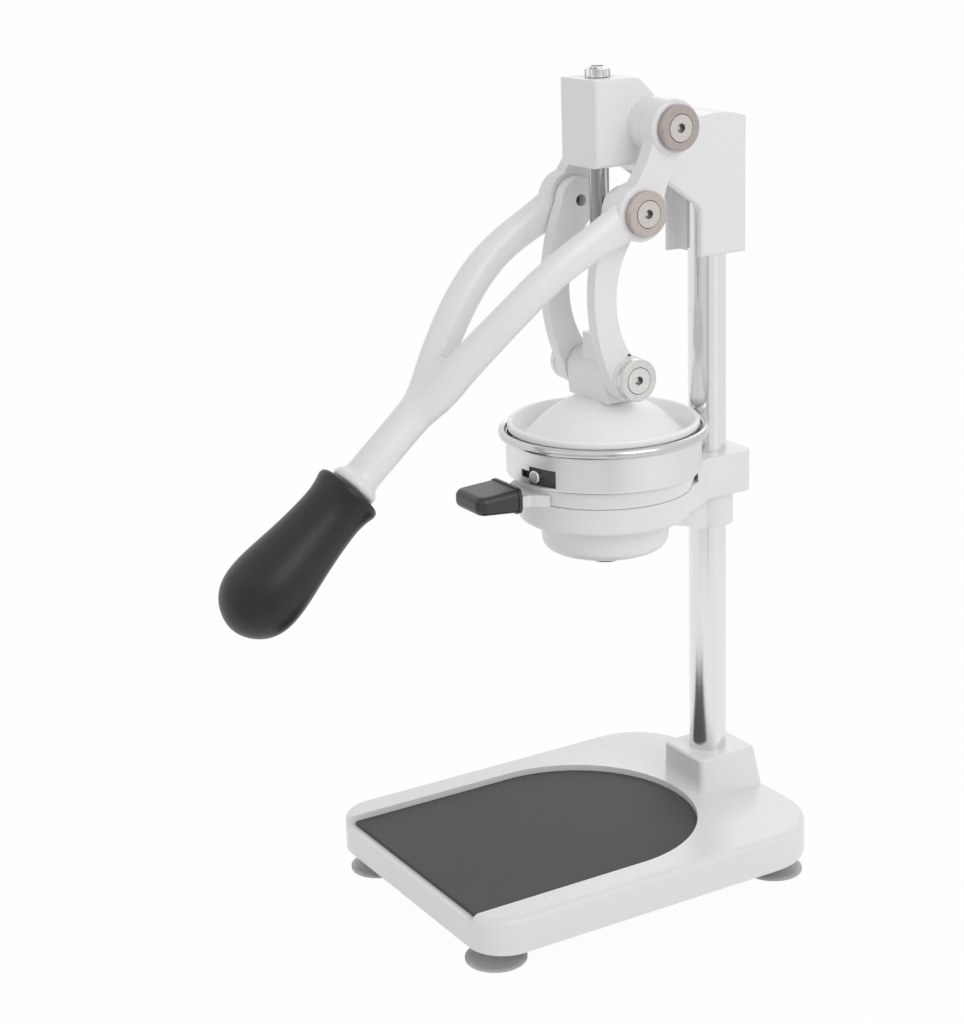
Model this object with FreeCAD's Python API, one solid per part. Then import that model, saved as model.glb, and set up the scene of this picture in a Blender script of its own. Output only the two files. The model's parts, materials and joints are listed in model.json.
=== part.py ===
import FreeCAD, Part
import math
import os

Vec = FreeCAD.Vector

# Manual citrus press. X is to the operator's right, Y to the back, Z up, in millimetres.
# The press axis is the Z axis, and the soles of the feet lie in the plane z = 0.

# Fits
run_gap = 0.05
seat_gap = 0.3
draw_gap = 0.5
side_gap = 1.0

# Base casting
base_half = 100.0
base_front = -151.5
base_rear = 104.0
base_bottom = 13.6
base_top = 36.5
base_front_radius = 24.0
base_rear_radius = 45.0
base_edge_radius = 4.5
base_wall = 5.0
base_roof = 4.5
base_rib = 4.0

# Mat and its recess
mat_half = 79.7
mat_front = -145.7
mat_arc_y = -28.7
mat_thick = 2.5
mat_floor = 30.4
mat_corner = 2.0

# Pedestal on the base
pedestal_half = 21.0
pedestal_front = 58.0
pedestal_back = 102.5
pedestal_top = 60.1
pedestal_foot_half = 34.0
pedestal_edge = 4.0

# Feet
foot_x = 73.75
foot_front_y = -132.0
foot_rear_y = 76.0
foot_radius = 18.8
foot_lip = 1.4
foot_neck_radius = 7.4
foot_height = 9.0
foot_hollow = 2.6
stud_radius = 4.0
stud_length = 20.0
nut_width = 13.0
nut_height = 4.5
foot_boss_radius = 11.0

# Column
column_y = 79.0
column_radius = 12.0
column_wall = 2.5
column_bottom = 34.0
column_top = 472.0
insert_length = 24.0
bolt_radius = 5.0
bolt_head_width = 17.0
bolt_head_height = 6.4
washer_radius = 11.5
washer_thick = 2.0

# Head casting
head_half = 19.5
head_front = -14.3
head_bottom = 452.6
head_height = 50.9
head_top = head_bottom + head_height
head_flat_end = 17.0
head_slope_y = 34.0
head_slope_drop = 16.5
clamp_front = 60.4
clamp_back = 95.2
clamp_bottom = 391.5
clamp_top = 475.6
clamp_crown = 2.5
neck_low_y = 19.0
neck_low_z = 422.0
head_edge = 2.5
head_corner = 7.0
pocket_half = 15.5
pocket_depth = 9.0

# Pivots: the fixed one on the head, the crank one on the lever, the cross one on the ram
pivot_y = 24.3
pivot_z = 475.8
crank_y = 1.05
crank_z = 428.4
cross_z = 327.6
boss_radius = 16.5
boss_reach = 30.5
shaft_radius = 7.0
bush_wall = 1.5

# Lever
hub_in = 31.0
hub_out = 45.0
hub_radius = 17.0
hub_edge = 2.0
web_half = 9.5
web_in = 33.0
web_out = 43.0
shank_radius = 11.0
shank_upright = 10.9
collar_radius = 12.0
collar_length = 5.0
collar_edge = 0.6
tang_radius = 7.5
tang_length = 82.0
grip_start_y = -176.0
grip_start_z = 281.6
grip_end_y = -254.6
grip_end_z = 213.4
grip_length = 105.0
crank_pin_radius = 5.5
# Sections of the right-hand arm from its hub to the fork: x, y, z, half width, half height
arm_sections = (((hub_in + hub_out) / 2, crank_y - 1, crank_z - 1, 7.0, 13.5),
                (38.0, -24.0, 416.5, 6.6, 11.0),
                (35.5, -45.0, 405.0, 6.2, 10.0),
                (30.0, -61.0, 392.5, 6.1, 9.8),
                (22.5, -77.0, 377.5, 6.2, 9.8),
                (14.5, -92.0, 361.5, 6.8, 10.2),
                (8.0, -107.0, 345.0, 8.0, 10.8))
# Sections of the fork's root: x, y, z, half width, half height
root_sections = ((0.0, -101.0, 352.0, 15.0, 10.5),
                 (0.0, -114.0, 338.5, 15.5, 11.5),
                 (0.0, -132.0, 320.7, 11.6, 11.2))
shank_blend = 22.0
# Profile of the grip: distance from its mouth, radius
grip_profile = ((0.0, 18.6), (1.2, 20.2), (3.0, 20.6), (6.0, 20.0), (12.0, 18.9), (24.0, 18.9), (40.0, 20.3),
                (58.0, 22.7), (74.0, 24.3), (86.0, 23.2), (95.0, 19.0), (101.0, 12.5), (104.2, 5.5))

# Discs and their countersunk screws
disc_radius = 13.4
cross_disc_radius = 12.9
disc_thick = 5.0
disc_edge = 0.8
screw_head_radius = 8.0
screw_head_depth = 4.4
screw_radius = 4.0
screw_length = 20.0
screw_rim_gap = 0.35
hex_width = 5.0
hex_depth = 2.6

# Links
link_in = 21.4
link_out = 30.0
link_eye_radius = 14.0
link_low_eye_radius = 13.6
link_bow_front = -24.4
link_bow_rear = -7.2
link_bow_z = 383.0
link_boss_out = 34.2
link_boss_radius = 13.0
link_pin_radius = 6.0
link_tap_radius = 3.6

# Ram
rod_radius = 6.0
rod_low = 316.0
rod_thread_radius = 4.0
rod_thread_length = 4.5
ram_nut_height = 6.2
nut_crown_radius = 11.2
nut_crown_depth = 10.4
ram_bush_radius = 8.5
ram_bush_length = 16.0
cross_half = 20.9
cross_boss_radius = 12.2
cross_bottom = 311.0
cross_neck_half = 8.2
cross_top = 351.0

# Press dome
dome_radius = 59.3
dome_rim_top = 297.2
dome_rim_width = 3.1
dome_top_radius = 17.0
dome_bulge_radius = 30.6
dome_bulge_z = 304.0
dome_waist_radius = 42.2
dome_waist_z = 294.5
dome_foot_radius = 51.5
dome_foot_z = 285.2
dome_valley_radius = 53.3
dome_valley_z = 284.4
dome_wall_radius = 55.0
dome_wall = 3.0
dome_thick_top = 5.0
dome_skirt_edge = 1.0
dome_cove = 1.2
dome_lead_high = 293.0
dome_lead_low = 290.6
dome_lead_radius = 57.0

# Steel ring
ring_radius = 60.5
ring_wall = 0.8
ring_low = 264.8
ring_curl = 2.0
bead_half_width = 2.4
bead_half_height = 3.0
bead_centre_r = 62.6
bead_centre_z = 290.3
slot_low = 267.3
slot_high = 278.3
slot_neck_low = 270.6
slot_neck_high = 275.2
slot_count = 2
slot_pin_angle = -76.0
slot_wide_after = 14.0
slot_wide_before = 5.5
slot_neck_before = 13.0
peg_radius = 2.0
peg_head_radius = 3.9
peg_z = 272.9
peg_out = 62.6
peg_seat = 0.5

# Funnel, its tab and the strainer
flange_radius = 57.4
flange_low_radius = 54.0
flange_low = 254.0
flange_top = 264.5
collar_out = 56.5
funnel_wall = 3.0
funnel_collar_top = 276.6
funnel_mouth_radius = 48.5
funnel_shoulder_drop = 3.0
funnel_body_radius = 40.4
funnel_foot_radius = 39.6
funnel_foot_z = 222.5
funnel_cone_drop = 14.0
funnel_cone_inset = 0.5
funnel_straight = 8.0
funnel_inner_rise = 1.5
funnel_sink_depth = 1.0
funnel_sink_width = 2.0
funnel_floor_z = 215.0
funnel_floor_radius = 32.0
spout_radius = 10.5
spout_wall = 2.2
spout_low = 206.4
spout_edge = 0.5
tab_half = 13.5
tab_root_half = 21.0
tab_root_y = -53.0
tab_root_end = -62.0
tab_low = 254.4
tab_high = 261.4
tab_end = -91.0
tab_corner = 5.0
tab_grip_half = 16.6
tab_grip_front = -99.5
tab_grip_back = -70.0
tab_grip_low = 252.0
tab_grip_high = 267.0
tab_grip_rise = 2.6
tab_grip_fall = 1.4
tab_grip_corner = 6.5
tab_grip_edge = 4.4
tab_lip = 0.7
tab_lip_width = 2.2
strainer_thick = 1.5
strainer_hole = 2.4
strainer_rows = ((40.0, 16), (47.0, 20))
reamer_radius = 34.0
reamer_top = 299.0
reamer_rib_count = 10

# Bracket that carries the funnel
bracket_radius = 54.6
bracket_low_radius = 54.0
bracket_low = 236.0
bracket_round = 3.5
bracket_throat = 2.5
arm_edge = 1.5
arm_half = 20.0
arm_low = 237.6
arm_top = 264.2
arm_back = 101.5
arm_corner = 8.0
arm_flare_half = 36.0
arm_flare_start = 40.0
arm_flare_end = 66.0
arm_boss_radius = 16.5
arm_boss_low = 216.2
arm_web_half = 13.0
arm_web_front = 41.0
arm_web_front_z = 223.4
arm_web_middle = 57.0
arm_web_middle_z = 219.0
set_screw_radius = 3.0
set_screw_length = 8.0


def cylinder_z(radius, low, high, x=0.0, y=0.0):
    """Upright cylinder between two heights."""
    return Part.makeCylinder(radius, high - low, Vec(x, y, low))


def cylinder_x(radius, start, end, y, z):
    """Cylinder along X between two x positions."""
    low = min(start, end)
    return Part.makeCylinder(radius, abs(end - start), Vec(low, y, z), Vec(1, 0, 0))


def cylinder_y(radius, start, end, x, z):
    """Cylinder along Y between two y positions."""
    return Part.makeCylinder(radius, end - start, Vec(x, start, z), Vec(0, 1, 0))


def block(x0, x1, y0, y1, z0, z1):
    """Box between two corners."""
    return Part.makeBox(x1 - x0, y1 - y0, z1 - z0, Vec(x0, y0, z0))


def hexagon_z(width, low, high, x, y):
    """Upright hexagonal prism of a width across its flats."""
    reach = width / 2 / math.cos(math.pi / 6)
    corners = [Vec(x + reach * math.cos(math.radians(a)), y + reach * math.sin(math.radians(a)), low)
               for a in range(0, 361, 60)]
    return Part.Face(Part.makePolygon(corners)).extrude(Vec(0, 0, high - low))


def revolved(profile, x=0.0, y=0.0):
    """Solid of revolution about a vertical axis from a list of (radius, z) corners."""
    corners = [Vec(r, 0, z) for r, z in profile]
    face = Part.Face(Part.makePolygon(corners + [corners[0]]))
    solid = face.revolve(Vec(0, 0, 0), Vec(0, 0, 1), 360)
    solid.translate(Vec(x, y, 0))
    return solid


def revolved_wire(edges):
    """Solid of revolution about the Z axis from a closed list of edges in the XZ plane."""
    face = Part.Face(Part.Wire(edges))
    return face.revolve(Vec(0, 0, 0), Vec(0, 0, 1), 360)


def line_xz(start, end):
    """Straight edge between two (radius, z) points."""
    return Part.LineSegment(Vec(start[0], 0, start[1]), Vec(end[0], 0, end[1])).toShape()


def arc_xz(start, middle, end):
    """Arc through three (radius, z) points."""
    points = [Vec(p[0], 0, p[1]) for p in (start, middle, end)]
    return Part.Arc(*points).toShape()


def line_yz(start, end):
    """Straight edge between two (y, z) points."""
    return Part.LineSegment(Vec(0, *start), Vec(0, *end)).toShape()


def arc_yz(start, middle, end):
    """Arc through three (y, z) points."""
    return Part.Arc(Vec(0, *start), Vec(0, *middle), Vec(0, *end)).toShape()


def plate_x(edges, start, end):
    """Plate between two x positions from a closed outline of edges in the YZ plane."""
    face = Part.Face(Part.Wire(edges))
    face.translate(Vec(start, 0, 0))
    return face.extrude(Vec(end - start, 0, 0))


def polygon_x(points, start, end):
    """Plate between two x positions from (y, z) corners."""
    corners = [Vec(start, y, z) for y, z in points]
    return Part.Face(Part.makePolygon(corners + [corners[0]])).extrude(Vec(end - start, 0, 0))


def ellipse_wire(centre, across, upright, half_across, half_upright):
    """Elliptic section at a point, in the plane of two unit directions."""
    if half_across >= half_upright:
        curve = Part.Ellipse(centre + across * half_across, centre + upright * half_upright, centre)
    else:
        curve = Part.Ellipse(centre + upright * half_upright, centre - across * half_across, centre)
    return Part.Wire(curve.toShape())


def edges_where(shape, test):
    """Edges whose centre of mass passes a test."""
    return [edge for edge in shape.Edges if test(edge.CenterOfMass)]


def mirrored(shape):
    """The left-hand twin of a right-hand piece."""
    return shape.mirror(Vec(0, 0, 0), Vec(1, 0, 0))


def turned(shape, angle):
    """A copy turned about the press axis."""
    copy = shape.copy()
    copy.rotate(Vec(0, 0, 0), Vec(0, 0, 1), angle)
    return copy


def one_solid(shape):
    """The single solid inside a boolean result, with its split faces merged."""
    return shape.removeSplitter().Solids[0]


def foot_places():
    """The name, x and y of each foot."""
    return (("front_left", -foot_x, foot_front_y), ("front_right", foot_x, foot_front_y),
            ("rear_left", -foot_x, foot_rear_y), ("rear_right", foot_x, foot_rear_y))


# Base


def base_outline(inset, z):
    """Plan outline of the base, inset from its outer wall, as a face at a height."""
    half = base_half - inset
    front = base_front + inset
    rear = base_rear - inset
    slab = block(-half, half, front, rear, z, z + 1.0)
    front_edges = edges_where(slab, lambda c: abs(c.x) > half - 1 and abs(c.y - front) < 1
                              and abs(c.z - z - 0.5) < 0.1)
    slab = slab.makeFillet(base_front_radius - inset, front_edges)
    rear_edges = edges_where(slab, lambda c: abs(c.x) > half - 1 and abs(c.y - rear) < 1
                             and abs(c.z - z - 0.5) < 0.1)
    slab = slab.makeFillet(base_rear_radius - inset, rear_edges)
    return min(slab.Faces, key=lambda face: face.CenterOfMass.z)


def pedestal_solid():
    """Tapered block that holds the foot of the column and widens towards the back."""
    low = base_top - base_edge_radius
    bottom = [(-pedestal_half, pedestal_front), (pedestal_half, pedestal_front),
              (pedestal_foot_half, base_rear - base_edge_radius / 2),
              (-pedestal_foot_half, base_rear - base_edge_radius / 2)]
    top = [(-pedestal_half, pedestal_front), (pedestal_half, pedestal_front),
           (pedestal_half, pedestal_back), (-pedestal_half, pedestal_back)]
    wires = []
    for corners, z in ((bottom, low), (top, pedestal_top)):
        points = [Vec(x, y, z) for x, y in corners]
        wires.append(Part.makePolygon(points + [points[0]]))
    solid = Part.makeLoft(wires, True, True)
    uprights = edges_where(solid, lambda c: low + 1 < c.z < pedestal_top - 1)
    solid = solid.makeFillet(pedestal_edge, uprights)
    rim = edges_where(solid, lambda c: c.z > pedestal_top - 0.01)
    return solid.makeFillet(pedestal_edge / 2, rim)


def recess_solid(clearance, low, high, front):
    """D-shaped plan of the mat, square at the front and half round at the back."""
    half = mat_half + clearance
    straight = block(-half, half, front, mat_arc_y, low, high)
    return straight.fuse(cylinder_z(half, low, high, 0, mat_arc_y)).removeSplitter()


def base_casting():
    """Hollow cast base with the mat recess, the pedestal and the foot bosses."""
    body = base_outline(0.0, base_bottom).extrude(Vec(0, 0, base_top - base_bottom))
    rim = edges_where(body, lambda c: c.z > base_top - 0.01)
    body = body.makeFillet(base_edge_radius, rim)
    hollow = base_outline(base_wall, base_bottom).extrude(
        Vec(0, 0, mat_floor - base_roof - base_bottom))
    keep = [cylinder_z(foot_boss_radius, base_bottom, base_top - base_roof, x, y)
            for _, x, y in foot_places()]
    keep.append(cylinder_z(pedestal_half, base_bottom, base_top - base_roof, 0, column_y))
    for x in (-base_half / 3, base_half / 3):
        keep.append(block(x - base_rib / 2, x + base_rib / 2, base_front + 1, base_rear - 1,
                          base_bottom + base_rib, base_top - base_roof))
    hollow = hollow.cut(keep[0].multiFuse(keep[1:]))
    body = body.cut(hollow)
    body = body.fuse(pedestal_solid())
    body = body.cut(recess_solid(draw_gap, mat_floor, pedestal_top, base_front - 1))
    body = body.fuse(pedestal_solid().common(
        block(-pedestal_half, pedestal_half, pedestal_front, base_rear, mat_floor, pedestal_top)))
    front_edge = edges_where(body, lambda c: abs(c.y - base_front) < 0.01
                             and abs(c.z - mat_floor) < 0.01)
    body = body.makeFillet(base_edge_radius / 2, front_edge)
    body = body.cut(cylinder_z(column_radius + run_gap, column_bottom, pedestal_top + 1, 0, column_y))
    bolt_seat = base_bottom + bolt_head_height + washer_thick
    body = body.cut(cylinder_z(bolt_radius + run_gap, base_bottom, column_bottom + 1, 0, column_y))
    body = body.cut(cylinder_z(washer_radius + draw_gap, base_bottom - 1, bolt_seat, 0, column_y))
    for _, x, y in foot_places():
        body = body.cut(cylinder_z(stud_radius + run_gap, base_bottom - 1,
                                   foot_height + stud_length - 6, x, y))
    return one_solid(body)


def base_mat():
    """Flat rubber mat that fills the recess."""
    mat = recess_solid(0.0, mat_floor, mat_floor + mat_thick, mat_front)
    corners = edges_where(mat, lambda c: abs(c.y - mat_front) < 0.01 and abs(abs(c.x) - mat_half) < 0.01)
    mat = mat.makeFillet(mat_corner, corners)
    top = edges_where(mat, lambda c: c.z > mat_floor + mat_thick - 0.01)
    return one_solid(mat.makeFillet(mat_thick / 4, top))


def foot_cup(x, y):
    """Soft flared foot with a hollow sole, round its stud."""
    profile = [(stud_radius + run_gap, foot_height), (foot_neck_radius, foot_height),
               (foot_neck_radius + 1.2, foot_height - 2.6),
               (foot_radius - 4.5, foot_lip + 1.6), (foot_radius, foot_lip), (foot_radius, 0.0),
               (foot_radius - 3.0, 0.0), (foot_neck_radius, foot_hollow),
               (stud_radius + run_gap, foot_hollow)]
    return revolved(profile, x, y)


def foot_studs():
    """Four threaded studs that join the feet to the base."""
    return [cylinder_z(stud_radius, foot_hollow, foot_hollow + stud_length, x, y)
            for _, x, y in foot_places()]


def foot_nuts():
    """Four hexagonal lock nuts between the feet and the base."""
    low = foot_height + run_gap
    nuts = []
    for _, x, y in foot_places():
        nut = hexagon_z(nut_width, low, low + nut_height, x, y)
        nuts.append(one_solid(nut.cut(cylinder_z(stud_radius + run_gap, 0, base_top, x, y))))
    return nuts


# Column


def column_tube():
    """Plated steel tube that carries the bracket and the head."""
    outer = cylinder_z(column_radius, column_bottom, column_top, 0, column_y)
    return outer.cut(cylinder_z(column_radius - column_wall, column_bottom, column_top, 0, column_y))


def column_insert():
    """Threaded plug in the foot of the column."""
    radius = column_radius - column_wall - run_gap
    plug = cylinder_z(radius, column_bottom, column_bottom + insert_length, 0, column_y)
    return plug.cut(cylinder_z(bolt_radius + run_gap, column_bottom, column_bottom + insert_length,
                               0, column_y))


def column_washer():
    """Washer under the head of the column's bolt."""
    top = base_bottom + bolt_head_height + washer_thick - run_gap
    disc = cylinder_z(washer_radius, top - washer_thick, top, 0, column_y)
    return disc.cut(cylinder_z(bolt_radius + run_gap, top - washer_thick, top, 0, column_y))


def column_bolt():
    """Hexagon bolt that pulls the column down into the pedestal."""
    top = base_bottom + bolt_head_height - 2 * run_gap
    head = hexagon_z(bolt_head_width, top - bolt_head_height, top, 0, column_y)
    shank = cylinder_z(bolt_radius, top, column_bottom + insert_length - 2, 0, column_y)
    return one_solid(head.fuse(shank))


# Head


def head_blank():
    """Side outline of the head between its flanks, with rounded corners."""
    slope = (head_slope_y, head_top - head_slope_drop)
    outline = [
        line_yz((head_front, head_bottom), (head_front, head_top)),
        line_yz((head_front, head_top), (head_flat_end, head_top)),
        line_yz((head_flat_end, head_top), slope),
        line_yz(slope, (clamp_front, clamp_top)),
        arc_yz((clamp_front, clamp_top), ((clamp_front + clamp_back) / 2, clamp_top + clamp_crown),
               (clamp_back, clamp_top - 1.0)),
        line_yz((clamp_back, clamp_top - 1.0), (clamp_back, clamp_bottom)),
        line_yz((clamp_back, clamp_bottom), (clamp_front, clamp_bottom)),
        line_yz((clamp_front, clamp_bottom), (clamp_front, neck_low_z)),
        line_yz((clamp_front, neck_low_z), (neck_low_y, head_bottom)),
        line_yz((neck_low_y, head_bottom), (head_front, head_bottom)),
    ]
    blank = plate_x(outline, -head_half, head_half)
    inner = edges_where(blank, lambda c: abs(c.x) < 0.01 and abs(c.y - clamp_front) < 0.01
                        and abs(c.z - neck_low_z) < 0.01)
    blank = blank.makeFillet(head_corner, inner)
    crest = edges_where(blank, lambda c: abs(c.x) < 0.01 and abs(c.y - head_flat_end) < 0.01
                        and abs(c.z - head_top) < 0.01)
    blank = blank.makeFillet(head_corner, crest)
    flanks = edges_where(blank, lambda c: abs(c.x) > head_half - 0.01)
    return blank.makeFillet(head_edge, flanks)


def head_pocket():
    """Open channel in front of the clamp and under the neck, between two cheeks."""
    back = clamp_front + pocket_depth
    corners = [(clamp_front - 12, clamp_bottom - 1), (back, clamp_bottom - 1), (back, neck_low_z + 8),
               (neck_low_y + 15, head_bottom + 3), (neck_low_y + 8, head_bottom - 14),
               (clamp_front - 12, neck_low_z - 10)]
    pocket = polygon_x(corners, -pocket_half, pocket_half)
    uprights = edges_where(pocket, lambda c: abs(c.y - back) < 0.01 and abs(c.x) > pocket_half - 0.01)
    return pocket.makeFillet(head_edge, uprights)


def head_casting():
    """Cast head: ram guide in front, pivot bosses on its neck, column clamp at the back."""
    body = head_blank().cut(head_pocket())
    boss = cylinder_x(boss_radius, -boss_reach, boss_reach, pivot_y, pivot_z)
    tips = edges_where(boss, lambda c: abs(c.x) > boss_reach - 0.01)
    body = body.fuse(boss.makeFillet(head_edge / 2, tips))
    bore = shaft_radius + run_gap + bush_wall + run_gap
    body = body.cut(cylinder_x(bore, -boss_reach - 1, boss_reach + 1, pivot_y, pivot_z))
    body = body.cut(cylinder_z(rod_radius + draw_gap, head_bottom - 1, head_top + 1))
    for low in (head_bottom - 1, head_top - ram_bush_length):
        body = body.cut(cylinder_z(ram_bush_radius + run_gap, low, low + ram_bush_length + 1))
    body = body.cut(cylinder_z(column_radius + run_gap, clamp_bottom - 1, column_top, 0, column_y))
    for z in head_screw_heights():
        body = body.cut(cylinder_y(set_screw_radius + run_gap, column_y, clamp_back + 1, 0, z))
    return one_solid(body)


def head_screw_heights():
    """Heights of the two set screws in the back of the head."""
    span = clamp_top - clamp_bottom
    return clamp_bottom + span / 4, clamp_bottom + 3 * span / 4


def set_screw(back, z):
    """Set screw in the back of a clamp, bearing on the column, with a hexagon socket."""
    start = column_y + column_radius + run_gap
    end = min(back - 1.0, start + set_screw_length)
    screw = cylinder_y(set_screw_radius, start, end, 0, z)
    socket = hexagon_z(set_screw_radius, 0, hex_depth, 0, 0)
    socket.rotate(Vec(0, 0, 0), Vec(1, 0, 0), -90)
    socket.translate(Vec(0, end - hex_depth, z))
    return one_solid(screw.cut(socket))


def head_set_screws():
    """Two set screws that hold the head on the column."""
    return [set_screw(clamp_back, z) for z in head_screw_heights()]


def ram_bush(low):
    """Plain guide bush for the ram's rod."""
    bush = cylinder_z(ram_bush_radius, low, low + ram_bush_length - run_gap)
    return bush.cut(cylinder_z(rod_radius + run_gap, low - 1, low + ram_bush_length + 1))


def pivot_bush():
    """Flanged bush in the right-hand boss of the head."""
    outer = shaft_radius + run_gap + bush_wall
    bush = cylinder_x(outer, head_half / 2, boss_reach, pivot_y, pivot_z)
    return bush.cut(cylinder_x(shaft_radius + run_gap, 0, hub_in, pivot_y, pivot_z))


# Lever


def swept_sections(sections):
    """Smooth solid through elliptic sections, each square to the line through its neighbours."""
    centres = [Vec(x, y, z) for x, y, z, _, _ in sections]
    wires = []
    for i, (_, _, _, half_across, half_upright) in enumerate(sections):
        ahead = centres[min(i + 1, len(centres) - 1)]
        behind = centres[max(i - 1, 0)]
        direction = (ahead - behind).normalize()
        across = Vec(-direction.y, direction.x, 0).normalize()
        upright = across.cross(direction)
        wires.append(ellipse_wire(centres[i], across, upright, half_across, half_upright))
    return Part.makeLoft(wires, True, False)


def lever_direction():
    """Unit direction of the shank, from the fork towards the grip."""
    return Vec(0, grip_end_y - grip_start_y, grip_end_z - grip_start_z).normalize()


def lever_web():
    """Waisted web from the crank hub up to the fixed hub."""
    start = Vec(0, crank_y, crank_z)
    end = Vec(0, pivot_y, pivot_z)
    along = (end - start).normalize()
    side = Vec(0, -along.z, along.y)
    middle = (start + end) * 0.5
    corners = [start + side * (hub_radius - 2), middle + side * web_half, end + side * (boss_radius - 3),
               end - side * (boss_radius - 3), middle - side * web_half, start - side * (hub_radius - 2)]
    edges = [Part.Arc(corners[0], corners[1], corners[2]).toShape(),
             Part.LineSegment(corners[2], corners[3]).toShape(),
             Part.Arc(corners[3], corners[4], corners[5]).toShape(),
             Part.LineSegment(corners[5], corners[0]).toShape()]
    return plate_x(edges, web_in, web_out)


def hub(radius, y, z):
    """Right-hand hub of the fork with a rounded outer edge."""
    solid = cylinder_x(radius, hub_in, hub_out, y, z)
    return solid.makeFillet(hub_edge, edges_where(solid, lambda c: c.x > hub_out - 0.01))


def lever_arm():
    """Right-hand arm of the fork with its two hubs."""
    arm = swept_sections(arm_sections)
    return arm.multiFuse([hub(hub_radius, crank_y, crank_z), hub(boss_radius, pivot_y, pivot_z),
                          lever_web()])


def lever_shank():
    """Round shank from the fork's root to the collar at the grip."""
    along = lever_direction()
    start = Vec(0, grip_start_y, grip_start_z)
    blend = start - along * shank_blend
    end = start - along * collar_length / 2
    shank = swept_sections(root_sections + (
        (blend.x, blend.y, blend.z, shank_radius, shank_upright),
        (end.x, end.y, end.z, shank_radius, shank_upright)))
    collar = Part.makeCylinder(collar_radius, collar_length, start - along * collar_length, along)
    rims = [edge for edge in collar.Edges if len(edge.Vertexes) == 1]
    collar = collar.makeFillet(collar_edge, rims)
    tang = Part.makeCylinder(tang_radius, tang_length + 1, start - along, along)
    return shank.multiFuse([collar, tang])


def lever_fork():
    """One casting: two curved arms with hubs and webs, joined in one shank."""
    right = lever_arm()
    body = lever_shank().multiFuse([right, mirrored(right)])
    body = body.cut(cylinder_x(shaft_radius + run_gap, -hub_out - 1, hub_out + 1, pivot_y, pivot_z))
    bore = crank_pin_radius + run_gap + bush_wall + run_gap
    body = body.cut(cylinder_x(bore, -hub_out - 1, hub_out + 1, crank_y, crank_z))
    return one_solid(body)


def handle_grip():
    """Soft grip with a flange at its mouth, a neck and a round bulb at its end."""
    along = lever_direction()
    start = Vec(0, grip_start_y, grip_start_z)
    curve = Part.BSplineCurve()
    curve.interpolate([Vec(radius, 0, length) for length, radius in grip_profile] + [Vec(0, 0, grip_length)])
    outline = [curve.toShape(), Part.LineSegment(Vec(0, 0, grip_length), Vec(0, 0, 0)).toShape(),
               Part.LineSegment(Vec(0, 0, 0), Vec(grip_profile[0][1], 0, 0)).toShape()]
    grip = Part.Face(Part.Wire(outline)).revolve(Vec(0, 0, 0), Vec(0, 0, 1), 360)
    grip = grip.cut(Part.makeCylinder(tang_radius + run_gap, tang_length + 1, Vec(0, 0, -1)))
    grip.Placement = FreeCAD.Placement(start, FreeCAD.Rotation(Vec(0, 0, 1), along))
    return one_solid(grip)


def pivot_shaft():
    """Shaft through the head that carries the lever, tapped at both ends."""
    shaft = cylinder_x(shaft_radius, -hub_out, hub_out, pivot_y, pivot_z)
    for side in (-1, 1):
        shaft = shaft.cut(cylinder_x(screw_radius + run_gap, side * (hub_out - screw_length),
                                     side * (hub_out + 1), pivot_y, pivot_z))
    return one_solid(shaft)


def crank_bush():
    """Bush in the right-hand crank hub."""
    outer = crank_pin_radius + run_gap + bush_wall
    bush = cylinder_x(outer, hub_in, hub_out, crank_y, crank_z)
    return bush.cut(cylinder_x(crank_pin_radius + run_gap, 0, hub_out + 1, crank_y, crank_z))


def crank_pin():
    """Right-hand crank pin inside its bush, tapped for the disc's screw."""
    pin = cylinder_x(crank_pin_radius, link_out + seat_gap, hub_out, crank_y, crank_z)
    return pin.cut(cylinder_x(screw_radius + run_gap, hub_out - screw_length / 2, hub_out + 1,
                              crank_y, crank_z))


def countersink(radius, depth, face, gap, y, z):
    """Cone of a countersunk head whose flat lies at an x position."""
    return Part.makeCone(screw_radius + gap, radius + gap, depth, Vec(face - depth, y, z), Vec(1, 0, 0))


def cover_disc(radius, seat, y, z):
    """Right-hand cover disc with a countersunk hole, its inner face at an x position."""
    face = seat + disc_thick
    disc = cylinder_x(radius, seat, face, y, z)
    disc = disc.makeChamfer(disc_edge, edges_where(disc, lambda c: c.x > face - 0.01))
    disc = disc.cut(cylinder_x(screw_radius + run_gap, seat - 1, face, y, z))
    return disc.cut(countersink(screw_head_radius, screw_head_depth, face + 0.01, screw_rim_gap, y, z))


def disc_screw(seat, length, y, z):
    """Right-hand countersunk screw with a hexagon socket, flush with its disc."""
    face = seat + disc_thick
    head = countersink(screw_head_radius, screw_head_depth, face, 0.0, y, z)
    shank = cylinder_x(screw_radius, seat + disc_thick - length, face - screw_head_depth, y, z)
    socket = hexagon_z(hex_width, 0, hex_depth + 1, 0, 0)
    socket.rotate(Vec(0, 0, 0), Vec(0, 1, 0), 90)
    socket.translate(Vec(face - hex_depth, y, z))
    return one_solid(head.fuse(shank).cut(socket))


# Links


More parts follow.
